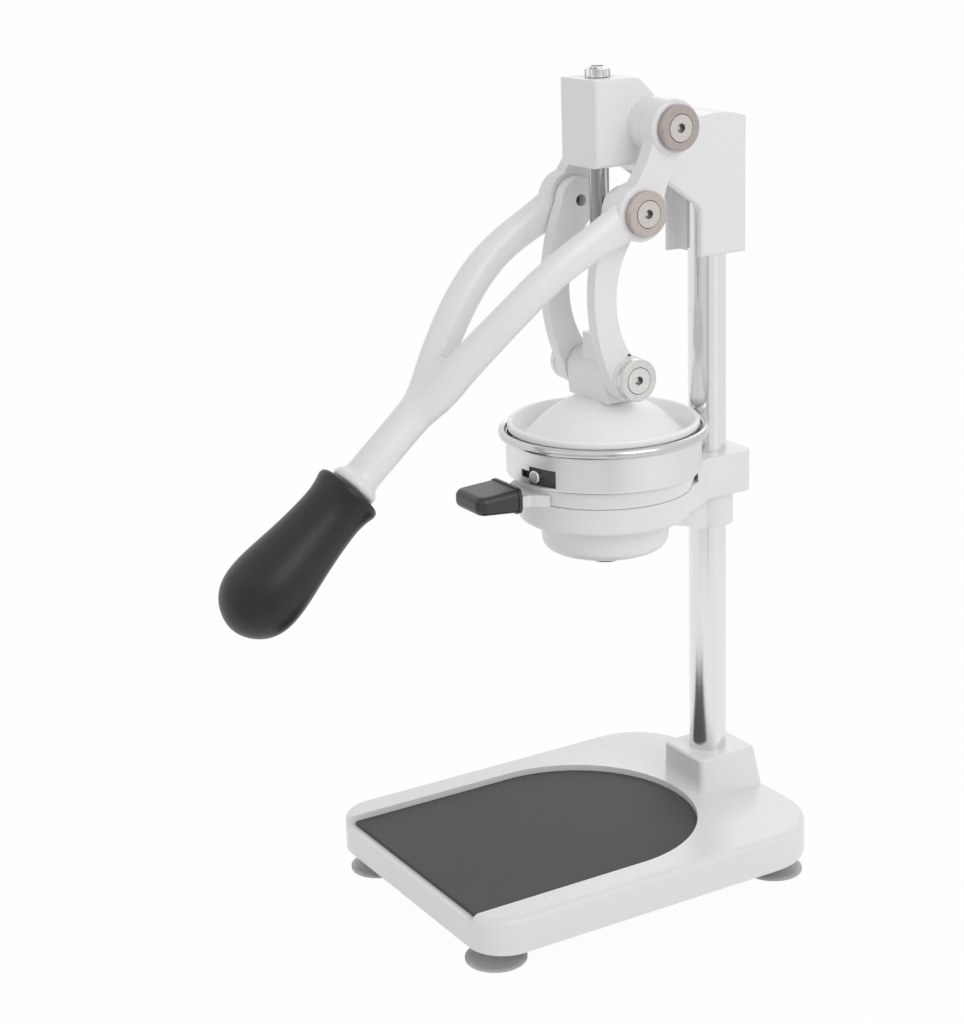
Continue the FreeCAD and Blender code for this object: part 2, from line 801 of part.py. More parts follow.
def link_right():
    """Right-hand link: a plate bowed to the front, with a boss on its lower eye."""
    top = Vec(0, crank_y, crank_z)
    low = Vec(0, 0, cross_z)
    front = [(crank_y - link_eye_radius, crank_z), (link_bow_front, link_bow_z),
             (-link_low_eye_radius, cross_z)]
    rear = [(link_low_eye_radius, cross_z), (link_bow_rear, link_bow_z + 6),
            (crank_y + link_eye_radius / 2, crank_z - link_eye_radius * 0.8)]
    blade = plate_x([arc_yz(*front), line_yz(front[2], rear[0]), arc_yz(*rear), line_yz(rear[2], front[0])],
                    link_in, link_out)
    body = blade.multiFuse([cylinder_x(link_eye_radius, link_in, link_out, top.y, top.z),
                            cylinder_x(link_low_eye_radius, link_in, link_out, low.y, low.z)])
    body = body.removeSplitter()
    boss = cylinder_x(link_boss_radius, link_in, link_boss_out, low.y, low.z)
    body = body.fuse(boss)
    body = body.cut(cylinder_x(link_tap_radius, 0, hub_out, top.y, top.z))
    bore = link_pin_radius + run_gap + bush_wall + run_gap
    return one_solid(body.cut(cylinder_x(bore, 0, hub_out, low.y, low.z)))


def link_bush():
    """Bush in the lower eye of the right-hand link."""
    outer = link_pin_radius + run_gap + bush_wall
    bush = cylinder_x(outer, link_in, link_boss_out, 0, cross_z)
    return bush.cut(cylinder_x(link_pin_radius + run_gap, 0, hub_out, 0, cross_z))


# Ram


def ram_rod():
    """Plated rod that guides the ram, with a thread at its top."""
    rod = cylinder_z(rod_radius, rod_low, head_top)
    thread = cylinder_z(rod_thread_radius, head_top, head_top + rod_thread_length)
    rod = rod.fuse(thread)
    return one_solid(rod.cut(cylinder_z(screw_radius + run_gap, rod_low - 1, rod_low + 12)))


def ram_nut():
    """Hexagon nut on the rod's top, which stops the ram on the head."""
    low = head_top + seat_gap
    high = low + ram_nut_height
    nut = hexagon_z(nut_width, low, high, 0, 0)
    crown = Part.makeSphere(nut_crown_radius, Vec(0, 0, high - nut_crown_depth))
    nut = nut.common(crown)
    return one_solid(nut.cut(cylinder_z(rod_thread_radius + run_gap, low - 1, high + 1)))


def crosshead():
    """Cast crosshead: bosses for its pin, a neck round the rod and a flat foot on the dome."""
    shoulder = [arc_yz((-cross_boss_radius, cross_z), (0, cross_z + cross_boss_radius),
                       (cross_boss_radius, cross_z)),
                line_yz((cross_boss_radius, cross_z), (cross_boss_radius - 1.5, cross_bottom)),
                line_yz((cross_boss_radius - 1.5, cross_bottom), (1.5 - cross_boss_radius, cross_bottom)),
                line_yz((1.5 - cross_boss_radius, cross_bottom), (-cross_boss_radius, cross_z))]
    body = plate_x(shoulder, -cross_half, cross_half)
    neck = block(-cross_neck_half, cross_neck_half, -cross_neck_half - 1, cross_neck_half + 1,
                 cross_bottom, cross_top)
    corners = edges_where(neck, lambda c: abs(abs(c.x) - cross_neck_half) < 0.01
                          and abs(abs(c.y) - cross_neck_half - 1) < 0.01)
    body = body.fuse(neck.makeFillet(1.5, corners))
    body = body.cut(cylinder_z(rod_radius + run_gap, rod_low - run_gap, cross_top + 1))
    body = body.cut(cylinder_z(screw_radius + run_gap, cross_bottom - 1, rod_low + 1))
    return one_solid(body.cut(cylinder_x(link_pin_radius + run_gap, -hub_out, hub_out, 0, cross_z)))


def crosshead_pin():
    """Right-hand pin of the crosshead, tapped for the disc's screw."""
    pin = cylinder_x(link_pin_radius, rod_radius + draw_gap, link_boss_out + run_gap, 0, cross_z)
    return pin.cut(cylinder_x(screw_radius + run_gap, link_boss_out - screw_length / 2, hub_out,
                              0, cross_z))


def dome_outside():
    """Edges of the dome that show, from the hole at its top to the lead of its skirt."""
    top = (dome_top_radius, cross_bottom - run_gap)
    waist = (dome_waist_radius, dome_waist_z)
    foot = (dome_foot_radius, dome_foot_z)
    wall = (dome_wall_radius, dome_foot_z)
    inner = (dome_radius - dome_rim_width, dome_rim_top - dome_rim_width / 2)
    outer = (dome_radius, dome_rim_top - dome_rim_width / 2)
    return [
        line_xz((screw_radius + run_gap, top[1]), top),
        arc_xz(top, (dome_bulge_radius, dome_bulge_z), waist),
        line_xz(waist, foot),
        arc_xz(foot, (dome_valley_radius, dome_valley_z), wall),
        line_xz(wall, inner),
        arc_xz(inner, (dome_radius - dome_rim_width / 2, dome_rim_top), outer),
        line_xz(outer, (dome_radius, dome_lead_high)),
        line_xz((dome_radius, dome_lead_high), (dome_lead_radius, dome_lead_low)),
    ]


def press_dome():
    """Moulded dome in a raised rim that presses the fruit."""
    hole = screw_radius + run_gap
    floor = dome_valley_z - dome_wall
    inner_top = cross_bottom - dome_thick_top
    corners = [(dome_lead_radius, dome_lead_low), (dome_lead_radius, floor + dome_skirt_edge),
               (dome_lead_radius - dome_skirt_edge, floor), (dome_foot_radius - dome_cove, floor),
               (dome_waist_radius - 2 * dome_cove, dome_waist_z - dome_wall),
               (dome_bulge_radius - dome_cove, dome_bulge_z - dome_wall - dome_cove / 2),
               (dome_top_radius - dome_cove, inner_top),
               (hole, inner_top), (hole, cross_bottom - run_gap)]
    inside = [line_xz(start, end) for start, end in zip(corners, corners[1:])]
    return revolved_wire(dome_outside() + inside)


def dome_screw():
    """Screw that holds the dome and the crosshead on the rod."""
    seat = cross_bottom - dome_thick_top - run_gap
    head = cylinder_z(screw_head_radius - 1.5, seat - 2.4, seat)
    socket = hexagon_z(hex_width, seat - 2.5, seat - 0.8, 0, 0)
    shank = cylinder_z(screw_radius, seat, rod_low + 10)
    return one_solid(head.cut(socket).fuse(shank))


# Cup


def steel_ring():
    """Spun steel ring with a rolled rim, a curled foot and bayonet slots."""
    inner = ring_radius - ring_wall
    curl_in = ring_curl - ring_wall
    turn = math.sqrt(0.5)
    centre = (ring_radius - ring_curl, ring_low + ring_curl)
    edges = [
        line_xz((ring_radius, bead_centre_z), (ring_radius, centre[1])),
        arc_xz((ring_radius, centre[1]), (centre[0] + ring_curl * turn, centre[1] - ring_curl * turn),
               (centre[0], ring_low)),
        line_xz((centre[0], ring_low), (centre[0], ring_low + ring_wall)),
        arc_xz((centre[0], ring_low + ring_wall),
               (centre[0] + curl_in * turn, centre[1] - curl_in * turn), (inner, centre[1])),
        line_xz((inner, centre[1]), (inner, bead_centre_z)),
        line_xz((inner, bead_centre_z), (ring_radius, bead_centre_z)),
    ]
    body = revolved_wire(edges)
    body = body.fuse(ring_bead())
    for i in range(slot_count):
        body = body.cut(bayonet_slot(slot_pin_angle + i * 360.0 / slot_count))
    return one_solid(body)


def ring_bead():
    """Rolled rim of the steel ring, a little taller than it is wide."""
    top = (bead_centre_r, bead_centre_z + bead_half_height)
    low = (bead_centre_r, bead_centre_z - bead_half_height)
    return revolved_wire([arc_xz(low, (bead_centre_r + bead_half_width, bead_centre_z), top),
                          arc_xz(top, (bead_centre_r - bead_half_width, bead_centre_z), low)])


def bayonet_slot(angle):
    """Cutter of one slot: a tall mouth and a narrow neck before it, round the pin's angle."""
    mouth = wall_wedge(angle - slot_wide_before, angle + slot_wide_after, slot_low, slot_high)
    neck = wall_wedge(angle - slot_neck_before, angle, slot_neck_low, slot_neck_high)
    return mouth.fuse(neck)


def wall_wedge(first, last, low, high):
    """Ring sector through the steel wall between two angles and two heights."""
    sector = Part.makeCylinder(ring_radius + 1.5, high - low, Vec(0, 0, low), Vec(0, 0, 1), last - first)
    sector = sector.cut(cylinder_z(collar_out + 1.5, low - 1, high + 1))
    return turned(sector, first)


def bayonet_pegs():
    """Pegs on the funnel's collar that reach through the slots."""
    pegs = []
    for i in range(slot_count):
        stem = cylinder_x(peg_radius, collar_out - funnel_wall + 0.5, ring_radius + seat_gap, 0, peg_z)
        head = cylinder_x(peg_head_radius, ring_radius + seat_gap, peg_out, 0, peg_z)
        head = head.makeFillet(0.8, edges_where(head, lambda c: c.x > peg_out - 0.01))
        pegs.append(turned(one_solid(stem.fuse(head)), slot_pin_angle + i * 360.0 / slot_count))
    return pegs


def funnel_profile():
    """Closed outline of the funnel's wall, from its collar down to the hole for the spout."""
    wall = funnel_wall
    inner = collar_out - wall
    shoulder = flange_low - funnel_shoulder_drop
    neck_z = flange_low - funnel_cone_drop
    hole = spout_radius - spout_wall
    inside = funnel_floor_z + wall
    sunk = inside - funnel_sink_depth
    cone = funnel_mouth_radius - funnel_cone_inset
    turn = math.sqrt(0.5)
    across = funnel_foot_radius - funnel_floor_radius
    upright = funnel_foot_z - funnel_floor_z
    round_out = (funnel_floor_radius + across * turn, funnel_foot_z - upright * turn)
    round_in = (funnel_floor_radius + (across - wall) * turn, funnel_foot_z - (upright - wall) * turn)
    outer = [(inner, funnel_collar_top), (collar_out, funnel_collar_top), (collar_out, flange_top),
             (flange_radius, flange_top), (flange_low_radius, flange_low), (funnel_mouth_radius, flange_low),
             (cone, shoulder), (funnel_body_radius, neck_z),
             (funnel_body_radius, neck_z - funnel_straight), (funnel_foot_radius, funnel_foot_z)]
    bottom = [(funnel_floor_radius, funnel_floor_z), (hole, funnel_floor_z), (hole, sunk),
              (hole + funnel_sink_width, sunk), (hole + 2 * funnel_sink_width, inside),
              (funnel_floor_radius, inside)]
    inner_wall = [(funnel_foot_radius - wall, funnel_foot_z),
                  (funnel_body_radius - wall, neck_z - funnel_straight),
                  (funnel_body_radius - wall, neck_z + funnel_inner_rise),
                  (cone - wall, shoulder + funnel_inner_rise),
                  (inner, flange_low + wall), (inner, funnel_collar_top)]
    edges = [line_xz(start, end) for start, end in zip(outer, outer[1:])]
    edges.append(arc_xz(outer[-1], round_out, bottom[0]))
    edges += [line_xz(start, end) for start, end in zip(bottom, bottom[1:])]
    edges.append(arc_xz(bottom[-1], round_in, inner_wall[0]))
    return edges + [line_xz(start, end) for start, end in zip(inner_wall, inner_wall[1:])]


def funnel_tab():
    """Flat tab in front of the funnel, widened where it leaves the flange."""
    tab = block(-tab_half, tab_half, tab_end, tab_root_y, tab_low, tab_high)
    corners = edges_where(tab, lambda c: abs(c.y - tab_end) < 0.01 and abs(abs(c.x) - tab_half) < 0.01)
    tab = tab.makeFillet(tab_corner, corners)
    plan = [Vec(-tab_root_half, tab_root_y, tab_low), Vec(tab_root_half, tab_root_y, tab_low),
            Vec(tab_half, tab_root_end, tab_low), Vec(-tab_half, tab_root_end, tab_low)]
    root = Part.Face(Part.makePolygon(plan + [plan[0]])).extrude(Vec(0, 0, tab_high - tab_low))
    core = cylinder_z(collar_out - funnel_wall, tab_low - 1, tab_high + 1)
    return tab.fuse(root).cut(core)


def juice_funnel():
    """Funnel with a flange on the bracket, a collar inside the ring and a tab in front."""
    body = revolved_wire(funnel_profile()).fuse(funnel_tab())
    for peg in bayonet_pegs():
        angle = math.degrees(math.atan2(peg.CenterOfMass.y, peg.CenterOfMass.x))
        start = collar_out - funnel_wall + peg_seat - run_gap
        hole = cylinder_x(peg_radius + run_gap, start, ring_radius, 0, peg_z)
        body = body.cut(turned(hole, angle))
    return one_solid(body)


def spout_ring():
    """Short outlet pressed into the funnel's floor."""
    inner = spout_radius - 2 * spout_wall
    collar = spout_radius - spout_wall - run_gap
    top = funnel_floor_z + funnel_wall - funnel_sink_depth
    low = funnel_floor_z - run_gap
    profile = [(inner, top), (collar, top), (collar, low), (spout_radius, low),
               (spout_radius, spout_low + spout_edge), (spout_radius - spout_edge, spout_low),
               (inner, spout_low)]
    return revolved(profile)


def tab_grip():
    """Soft cap pushed over the tab, with a lip round its mouth."""
    mouth = tab_grip_back - 1
    side = [(tab_grip_front, tab_grip_low + tab_grip_rise), (mouth, tab_grip_low), (mouth, tab_grip_high),
            (tab_grip_front, tab_grip_high - tab_grip_fall)]
    grip = polygon_x(side, -tab_grip_half, tab_grip_half)
    uprights = edges_where(grip, lambda c: abs(c.y - tab_grip_front) < 0.01
                           and abs(abs(c.x) - tab_grip_half) < 0.01)
    grip = grip.makeFillet(tab_grip_corner, uprights)
    middle = (tab_grip_low + tab_grip_high) / 2
    rest = edges_where(grip, lambda c: c.y < mouth - 0.01 and abs(c.z - middle) > (
        tab_grip_high - tab_grip_low) / 2 - tab_grip_rise - 0.01)
    grip = grip.makeFillet(tab_grip_edge, rest)
    lip_half = tab_grip_half + tab_lip
    lip = block(-lip_half, lip_half, tab_grip_back - tab_lip_width, tab_grip_back,
                tab_grip_low - tab_lip, tab_grip_high + tab_lip)
    corners = edges_where(lip, lambda c: abs(abs(c.x) - lip_half) < 0.01
                          and abs(abs(c.z - middle) - (tab_grip_high - tab_grip_low) / 2 - tab_lip) < 0.01)
    grip = grip.fuse(lip.makeFillet(tab_grip_edge + tab_lip, corners))
    socket = block(-tab_half - run_gap, tab_half + run_gap, tab_end - seat_gap, tab_grip_back + 1,
                   tab_low - run_gap, tab_high + run_gap)
    return one_solid(grip.cut(socket))


def strainer_plate():
    """Perforated plate that lies on the funnel's collar."""
    low = funnel_collar_top + run_gap
    plate = cylinder_z(collar_out, low, low + strainer_thick)
    holes = [cylinder_z(screw_radius / 2 + run_gap, low - 1, low + strainer_thick + 1)]
    for radius, count in strainer_rows:
        for i in range(count):
            angle = 2 * math.pi * i / count
            holes.append(cylinder_z(strainer_hole, low - 1, low + strainer_thick + 1,
                                    radius * math.cos(angle), radius * math.sin(angle)))
    return one_solid(plate.cut(holes[0].multiFuse(holes[1:])))


def reamer_cone():
    """Ribbed cone on the strainer, over which the half fruit sits."""
    low = funnel_collar_top + strainer_thick + 2 * run_gap
    profile = [(0, low), (reamer_radius, low), (reamer_radius, low + 2.0), (reamer_radius - 6.0, low + 6.0),
               (6.0, reamer_top - 2.0), (0, reamer_top)]
    cone = revolved(profile)
    rib_points = [(reamer_radius - 1.0, low), (reamer_radius - 1.0, low + 3.5), (8.0, reamer_top - 1.0), (4.0, low)]
    corners = [Vec(r, -0.9, z) for r, z in rib_points]
    rib = Part.Face(Part.makePolygon(corners + [corners[0]])).extrude(Vec(0, 1.8, 0))
    ribs = [turned(rib, i * 360.0 / reamer_rib_count) for i in range(reamer_rib_count)]
    cone = cone.multiFuse(ribs)
    return one_solid(cone.cut(cylinder_z(screw_radius / 2 + run_gap, low - 1, low + 8)))


def reamer_screw():
    """Small screw that holds the cone on its plate."""
    low = funnel_collar_top + run_gap
    head = cylinder_z(screw_radius, low - 2.4 - run_gap, low - run_gap)
    return one_solid(head.fuse(cylinder_z(screw_radius / 2, low - run_gap, low + 8)))


# Bracket


def bracket_opening():
    """Corners of the ring's opening, which clears the funnel's body and its cone."""
    bore = funnel_body_radius + draw_gap
    mouth = funnel_mouth_radius + draw_gap
    top = flange_low - seat_gap
    cone_low = flange_low - funnel_cone_drop - side_gap
    return (bore, bracket_low), (bore, cone_low), (mouth, top - bracket_throat), (mouth, top)


def bracket_ring():
    """Ring under the funnel's flange."""
    bore, cone, throat, mouth = bracket_opening()
    turn = 1 - math.sqrt(0.5)
    side = (bracket_low_radius, bracket_low + bracket_round)
    foot = (bracket_low_radius - bracket_round, bracket_low)
    middle = (side[0] - bracket_round * turn, foot[1] + bracket_round * turn)
    edges = [line_xz(mouth, (bracket_radius, mouth[1])), line_xz((bracket_radius, mouth[1]), side),
             arc_xz(side, middle, foot), line_xz(foot, bore), line_xz(bore, cone), line_xz(cone, throat),
             line_xz(throat, mouth)]
    return revolved_wire(edges)


def bracket_arm():
    """Arm from the ring to the column, flared at the ring, with a web and a boss under it."""
    plan = [(-arm_half, arm_back), (arm_half, arm_back), (arm_half, arm_flare_end),
            (arm_flare_half, arm_flare_start), (-arm_flare_half, arm_flare_start), (-arm_half, arm_flare_end)]
    corners = [Vec(x, y, arm_low) for x, y in plan]
    arm = Part.Face(Part.makePolygon(corners + [corners[0]])).extrude(Vec(0, 0, arm_top - arm_low))
    back = edges_where(arm, lambda c: abs(abs(c.x) - arm_half) < 0.01 and abs(c.y - arm_back) < 0.01)
    arm = arm.makeFillet(arm_corner, back)
    bends = edges_where(arm, lambda c: abs(abs(c.x) - arm_half) < 0.01 and abs(c.y - arm_flare_end) < 0.01)
    arm = arm.makeFillet(arm_corner, bends)
    rim = edges_where(arm, lambda c: c.z > arm_top - 0.01)
    arm = arm.makeFillet(arm_edge, rim)
    web = polygon_x([(arm_web_front, arm_web_front_z), (arm_web_middle, arm_web_middle_z),
                     (column_y - arm_boss_radius, arm_boss_low), (column_y, arm_boss_low),
                     (column_y, arm_low + 1), (arm_web_front, arm_low + 1)], -arm_web_half, arm_web_half)
    boss = cylinder_z(arm_boss_radius, arm_boss_low, arm_low + 1, 0, column_y)
    return arm.multiFuse([web, boss]).removeSplitter()


def cup_bracket():
    """Cast bracket: a ring under the funnel and an arm clamped on the column."""
    bore, cone, throat, mouth = bracket_opening()
    arm = bracket_arm()
    arm = arm.cut(cylinder_z(flange_radius + side_gap, mouth[1], arm_top + 1))
    arm = arm.cut(revolved([(0, arm_boss_low - 1), (bore[0], arm_boss_low - 1), cone, throat, mouth,
                            (0, mouth[1])]))
    body = bracket_ring().fuse(arm)
    body = body.cut(cylinder_z(column_radius + run_gap, arm_boss_low - 1, arm_top + 1, 0, column_y))
    body = body.cut(cylinder_y(set_screw_radius + run_gap, column_y, arm_back + 1, 0,
                               (arm_low + arm_top) / 2))
    return one_solid(body)


def bracket_set_screw():
    """Set screw that holds the bracket on the column."""
    return set_screw(arm_back, (arm_low + arm_top) / 2)


def pair(shape):
    """A right-hand piece and its left-hand twin."""
    return [shape, mirrored(shape)]


def all_nodes():
    """Every node's name with its solids."""
    nodes = {"base_casting": base_casting(), "base_mat": base_mat()}
    for name, x, y in foot_places():
        nodes["foot_" + name] = foot_cup(x, y)
    nodes["foot_studs"] = foot_studs()
    nodes["foot_nuts"] = foot_nuts()
    nodes["column_tube"] = column_tube()
    nodes["column_insert"] = column_insert()
    nodes["column_washer"] = column_washer()
    nodes["column_bolt"] = column_bolt()
    nodes["head_casting"] = head_casting()
    nodes["head_set_screws"] = head_set_screws()
    nodes["ram_bush_lower"] = ram_bush(head_bottom)
    nodes["ram_bush_upper"] = ram_bush(head_top - ram_bush_length)
    nodes["pivot_bushes"] = pair(pivot_bush())
    nodes["cup_bracket"] = cup_bracket()
    nodes["bracket_set_screw"] = bracket_set_screw()
    nodes["lever_fork"] = lever_fork()
    nodes["handle_grip"] = handle_grip()
    nodes["pivot_shaft"] = pivot_shaft()
    nodes["crank_bushes"] = pair(crank_bush())
    nodes["crank_pins"] = pair(crank_pin())
    discs = (("pivot", disc_radius, hub_out, pivot_y, pivot_z),
             ("crank", disc_radius, hub_out, crank_y, crank_z),
             ("cross", cross_disc_radius, link_boss_out + seat_gap, 0.0, cross_z))
    for name, radius, seat, y, z in discs:
        disc = cover_disc(radius, seat + run_gap, y, z)
        nodes[name + "_disc_right"] = disc
        nodes[name + "_disc_left"] = mirrored(disc)
    nodes["pivot_screws"] = pair(disc_screw(hub_out + run_gap, screw_length, pivot_y, pivot_z))
    nodes["crank_screws"] = pair(disc_screw(hub_out + run_gap, screw_length * 0.7, crank_y, crank_z))
    nodes["cross_screws"] = pair(disc_screw(link_boss_out + seat_gap + run_gap, screw_length * 0.7,
                                            0, cross_z))
    nodes["link_right"] = link_right()
    nodes["link_left"] = mirrored(link_right())
    nodes["link_bushes"] = pair(link_bush())
    nodes["ram_rod"] = ram_rod()
    nodes["ram_nut"] = ram_nut()
    nodes["crosshead"] = crosshead()
    nodes["crosshead_pins"] = pair(crosshead_pin())
    nodes["press_dome"] = press_dome()
    nodes["dome_screw"] = dome_screw()
    nodes["steel_ring"] = steel_ring()
    nodes["juice_funnel"] = juice_funnel()
    nodes["bayonet_pegs"] = bayonet_pegs()
    nodes["spout_ring"] = spout_ring()
    nodes["tab_grip"] = tab_grip()
    nodes["strainer_plate"] = strainer_plate()
    nodes["reamer_cone"] = reamer_cone()
    nodes["reamer_screw"] = reamer_screw()
    return nodes


def main():
    """Write one file for each node."""
    os.makedirs("parts", exist_ok=True)
    for name, shape in all_nodes().items():
        solids = shape if isinstance(shape, list) else [shape]
        solid = solids[0] if len(solids) == 1 else Part.makeCompound(solids)
        solid.exportStep(os.path.join("parts", name + ".step"))
        good = all(item.isValid() for item in solids)
        print(f"{name:22s} solids {len(solids)} valid {good} volume {solid.Volume:10.1f}")


main()
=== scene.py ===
import json
import logging
import math
from dataclasses import dataclass
from enum import Enum

import bmesh
import bpy
from mathutils import Matrix, Vector

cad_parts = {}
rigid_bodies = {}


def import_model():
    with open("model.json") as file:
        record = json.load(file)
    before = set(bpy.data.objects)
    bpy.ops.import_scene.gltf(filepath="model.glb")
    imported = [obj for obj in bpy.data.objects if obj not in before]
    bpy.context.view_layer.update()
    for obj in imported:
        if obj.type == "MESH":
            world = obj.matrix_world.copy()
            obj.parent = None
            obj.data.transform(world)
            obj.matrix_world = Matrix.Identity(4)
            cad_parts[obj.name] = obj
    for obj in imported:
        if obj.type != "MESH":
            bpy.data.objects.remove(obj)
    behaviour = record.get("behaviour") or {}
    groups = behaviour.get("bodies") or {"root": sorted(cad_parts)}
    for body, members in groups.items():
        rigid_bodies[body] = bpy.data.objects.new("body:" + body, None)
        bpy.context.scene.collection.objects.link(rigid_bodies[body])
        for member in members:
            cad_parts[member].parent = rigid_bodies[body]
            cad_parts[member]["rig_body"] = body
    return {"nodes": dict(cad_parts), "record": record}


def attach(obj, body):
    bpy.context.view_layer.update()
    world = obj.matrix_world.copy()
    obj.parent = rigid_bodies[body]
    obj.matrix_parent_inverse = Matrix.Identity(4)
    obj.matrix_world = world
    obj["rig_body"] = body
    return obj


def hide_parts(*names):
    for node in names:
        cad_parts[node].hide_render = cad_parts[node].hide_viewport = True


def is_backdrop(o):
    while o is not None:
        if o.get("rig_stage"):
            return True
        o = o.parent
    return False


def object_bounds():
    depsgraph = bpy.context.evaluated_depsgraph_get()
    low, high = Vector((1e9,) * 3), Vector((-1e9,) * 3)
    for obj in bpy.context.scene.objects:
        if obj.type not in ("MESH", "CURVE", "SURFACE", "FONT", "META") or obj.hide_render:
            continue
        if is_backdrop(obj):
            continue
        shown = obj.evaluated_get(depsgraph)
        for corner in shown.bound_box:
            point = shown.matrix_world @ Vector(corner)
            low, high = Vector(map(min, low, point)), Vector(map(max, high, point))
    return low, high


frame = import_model()

LOG = logging.getLogger("citrus_press")

Colour = tuple[float, float, float]
Point = tuple[float, float, float]
Section = tuple[float, float, float, float, float, float]

MERGE = 2e-6
FLAT_ANGLE = math.radians(0.4)
CUT_TOLERANCE = 1e-7
ARRIS_ANGLE = 28.0
BEVEL_STEPS = 2


class Edge(Enum):
    """How far the arris of a piece is broken, in metres."""

    KEEN = 0.0
    FINE = 0.00018
    CAST = 0.0006
    SOFT = 0.0010


class Grain(Enum):
    """Axis along which a drawn or brushed finish runs."""

    UPRIGHT = (1.0, 1.0, 0.01)
    AROUND = (0.02, 0.02, 1.0)


class Value:
    """A number in a shader, so that sums on sockets read as Python expressions."""

    def __init__(self, paint: "Paint", source: object) -> None:
        """Wrap a socket or a plain number.

        Args:
            paint: The material that the number belongs to.
            source: An output socket or a number.
        """
        self.paint = paint
        self.source = source

    def maths(self, operation: str, *others: object) -> "Value":
        """Add one Math node.

        Args:
            operation: Blender's name of the operation.
            others: Further operands, as numbers or values.

        Returns:
            The result as a new value.
        """
        operands = [self.source] + [o.source if isinstance(o, Value) else o for o in others]
        node = self.paint.node("ShaderNodeMath", {"operation": operation}, dict(enumerate(operands)))
        return Value(self.paint, node.outputs[0])

    def __add__(self, other: object) -> "Value":
        """Sum."""
        return self.maths("ADD", other)

    def __sub__(self, other: object) -> "Value":
        """Difference."""
        return self.maths("SUBTRACT", other)

    def __mul__(self, other: object) -> "Value":
        """Product."""
        return self.maths("MULTIPLY", other)

    def __rsub__(self, other: object) -> "Value":
        """Difference from a number on the left."""
        return Value(self.paint, other).maths("SUBTRACT", self)

    def __gt__(self, other: object) -> "Value":
        """1 where it is greater, else 0."""
        return self.maths("GREATER_THAN", other)

    def __lt__(self, other: object) -> "Value":
        """1 where it is less, else 0."""
        return self.maths("LESS_THAN", other)

    def within(self, low: float, high: float) -> "Value":
        """Soft step from 0 at the low value to 1 at the high one.

        Args:
            low: Where the step starts.
            high: Where it ends.

        Returns:
            The step.
        """
        settings = {"interpolation_type": "SMOOTHSTEP"}
        values = {"Value": self.source, "From Min": low, "From Max": high}
        return Value(self.paint, self.paint.node("ShaderNodeMapRange", settings, values).outputs[0])


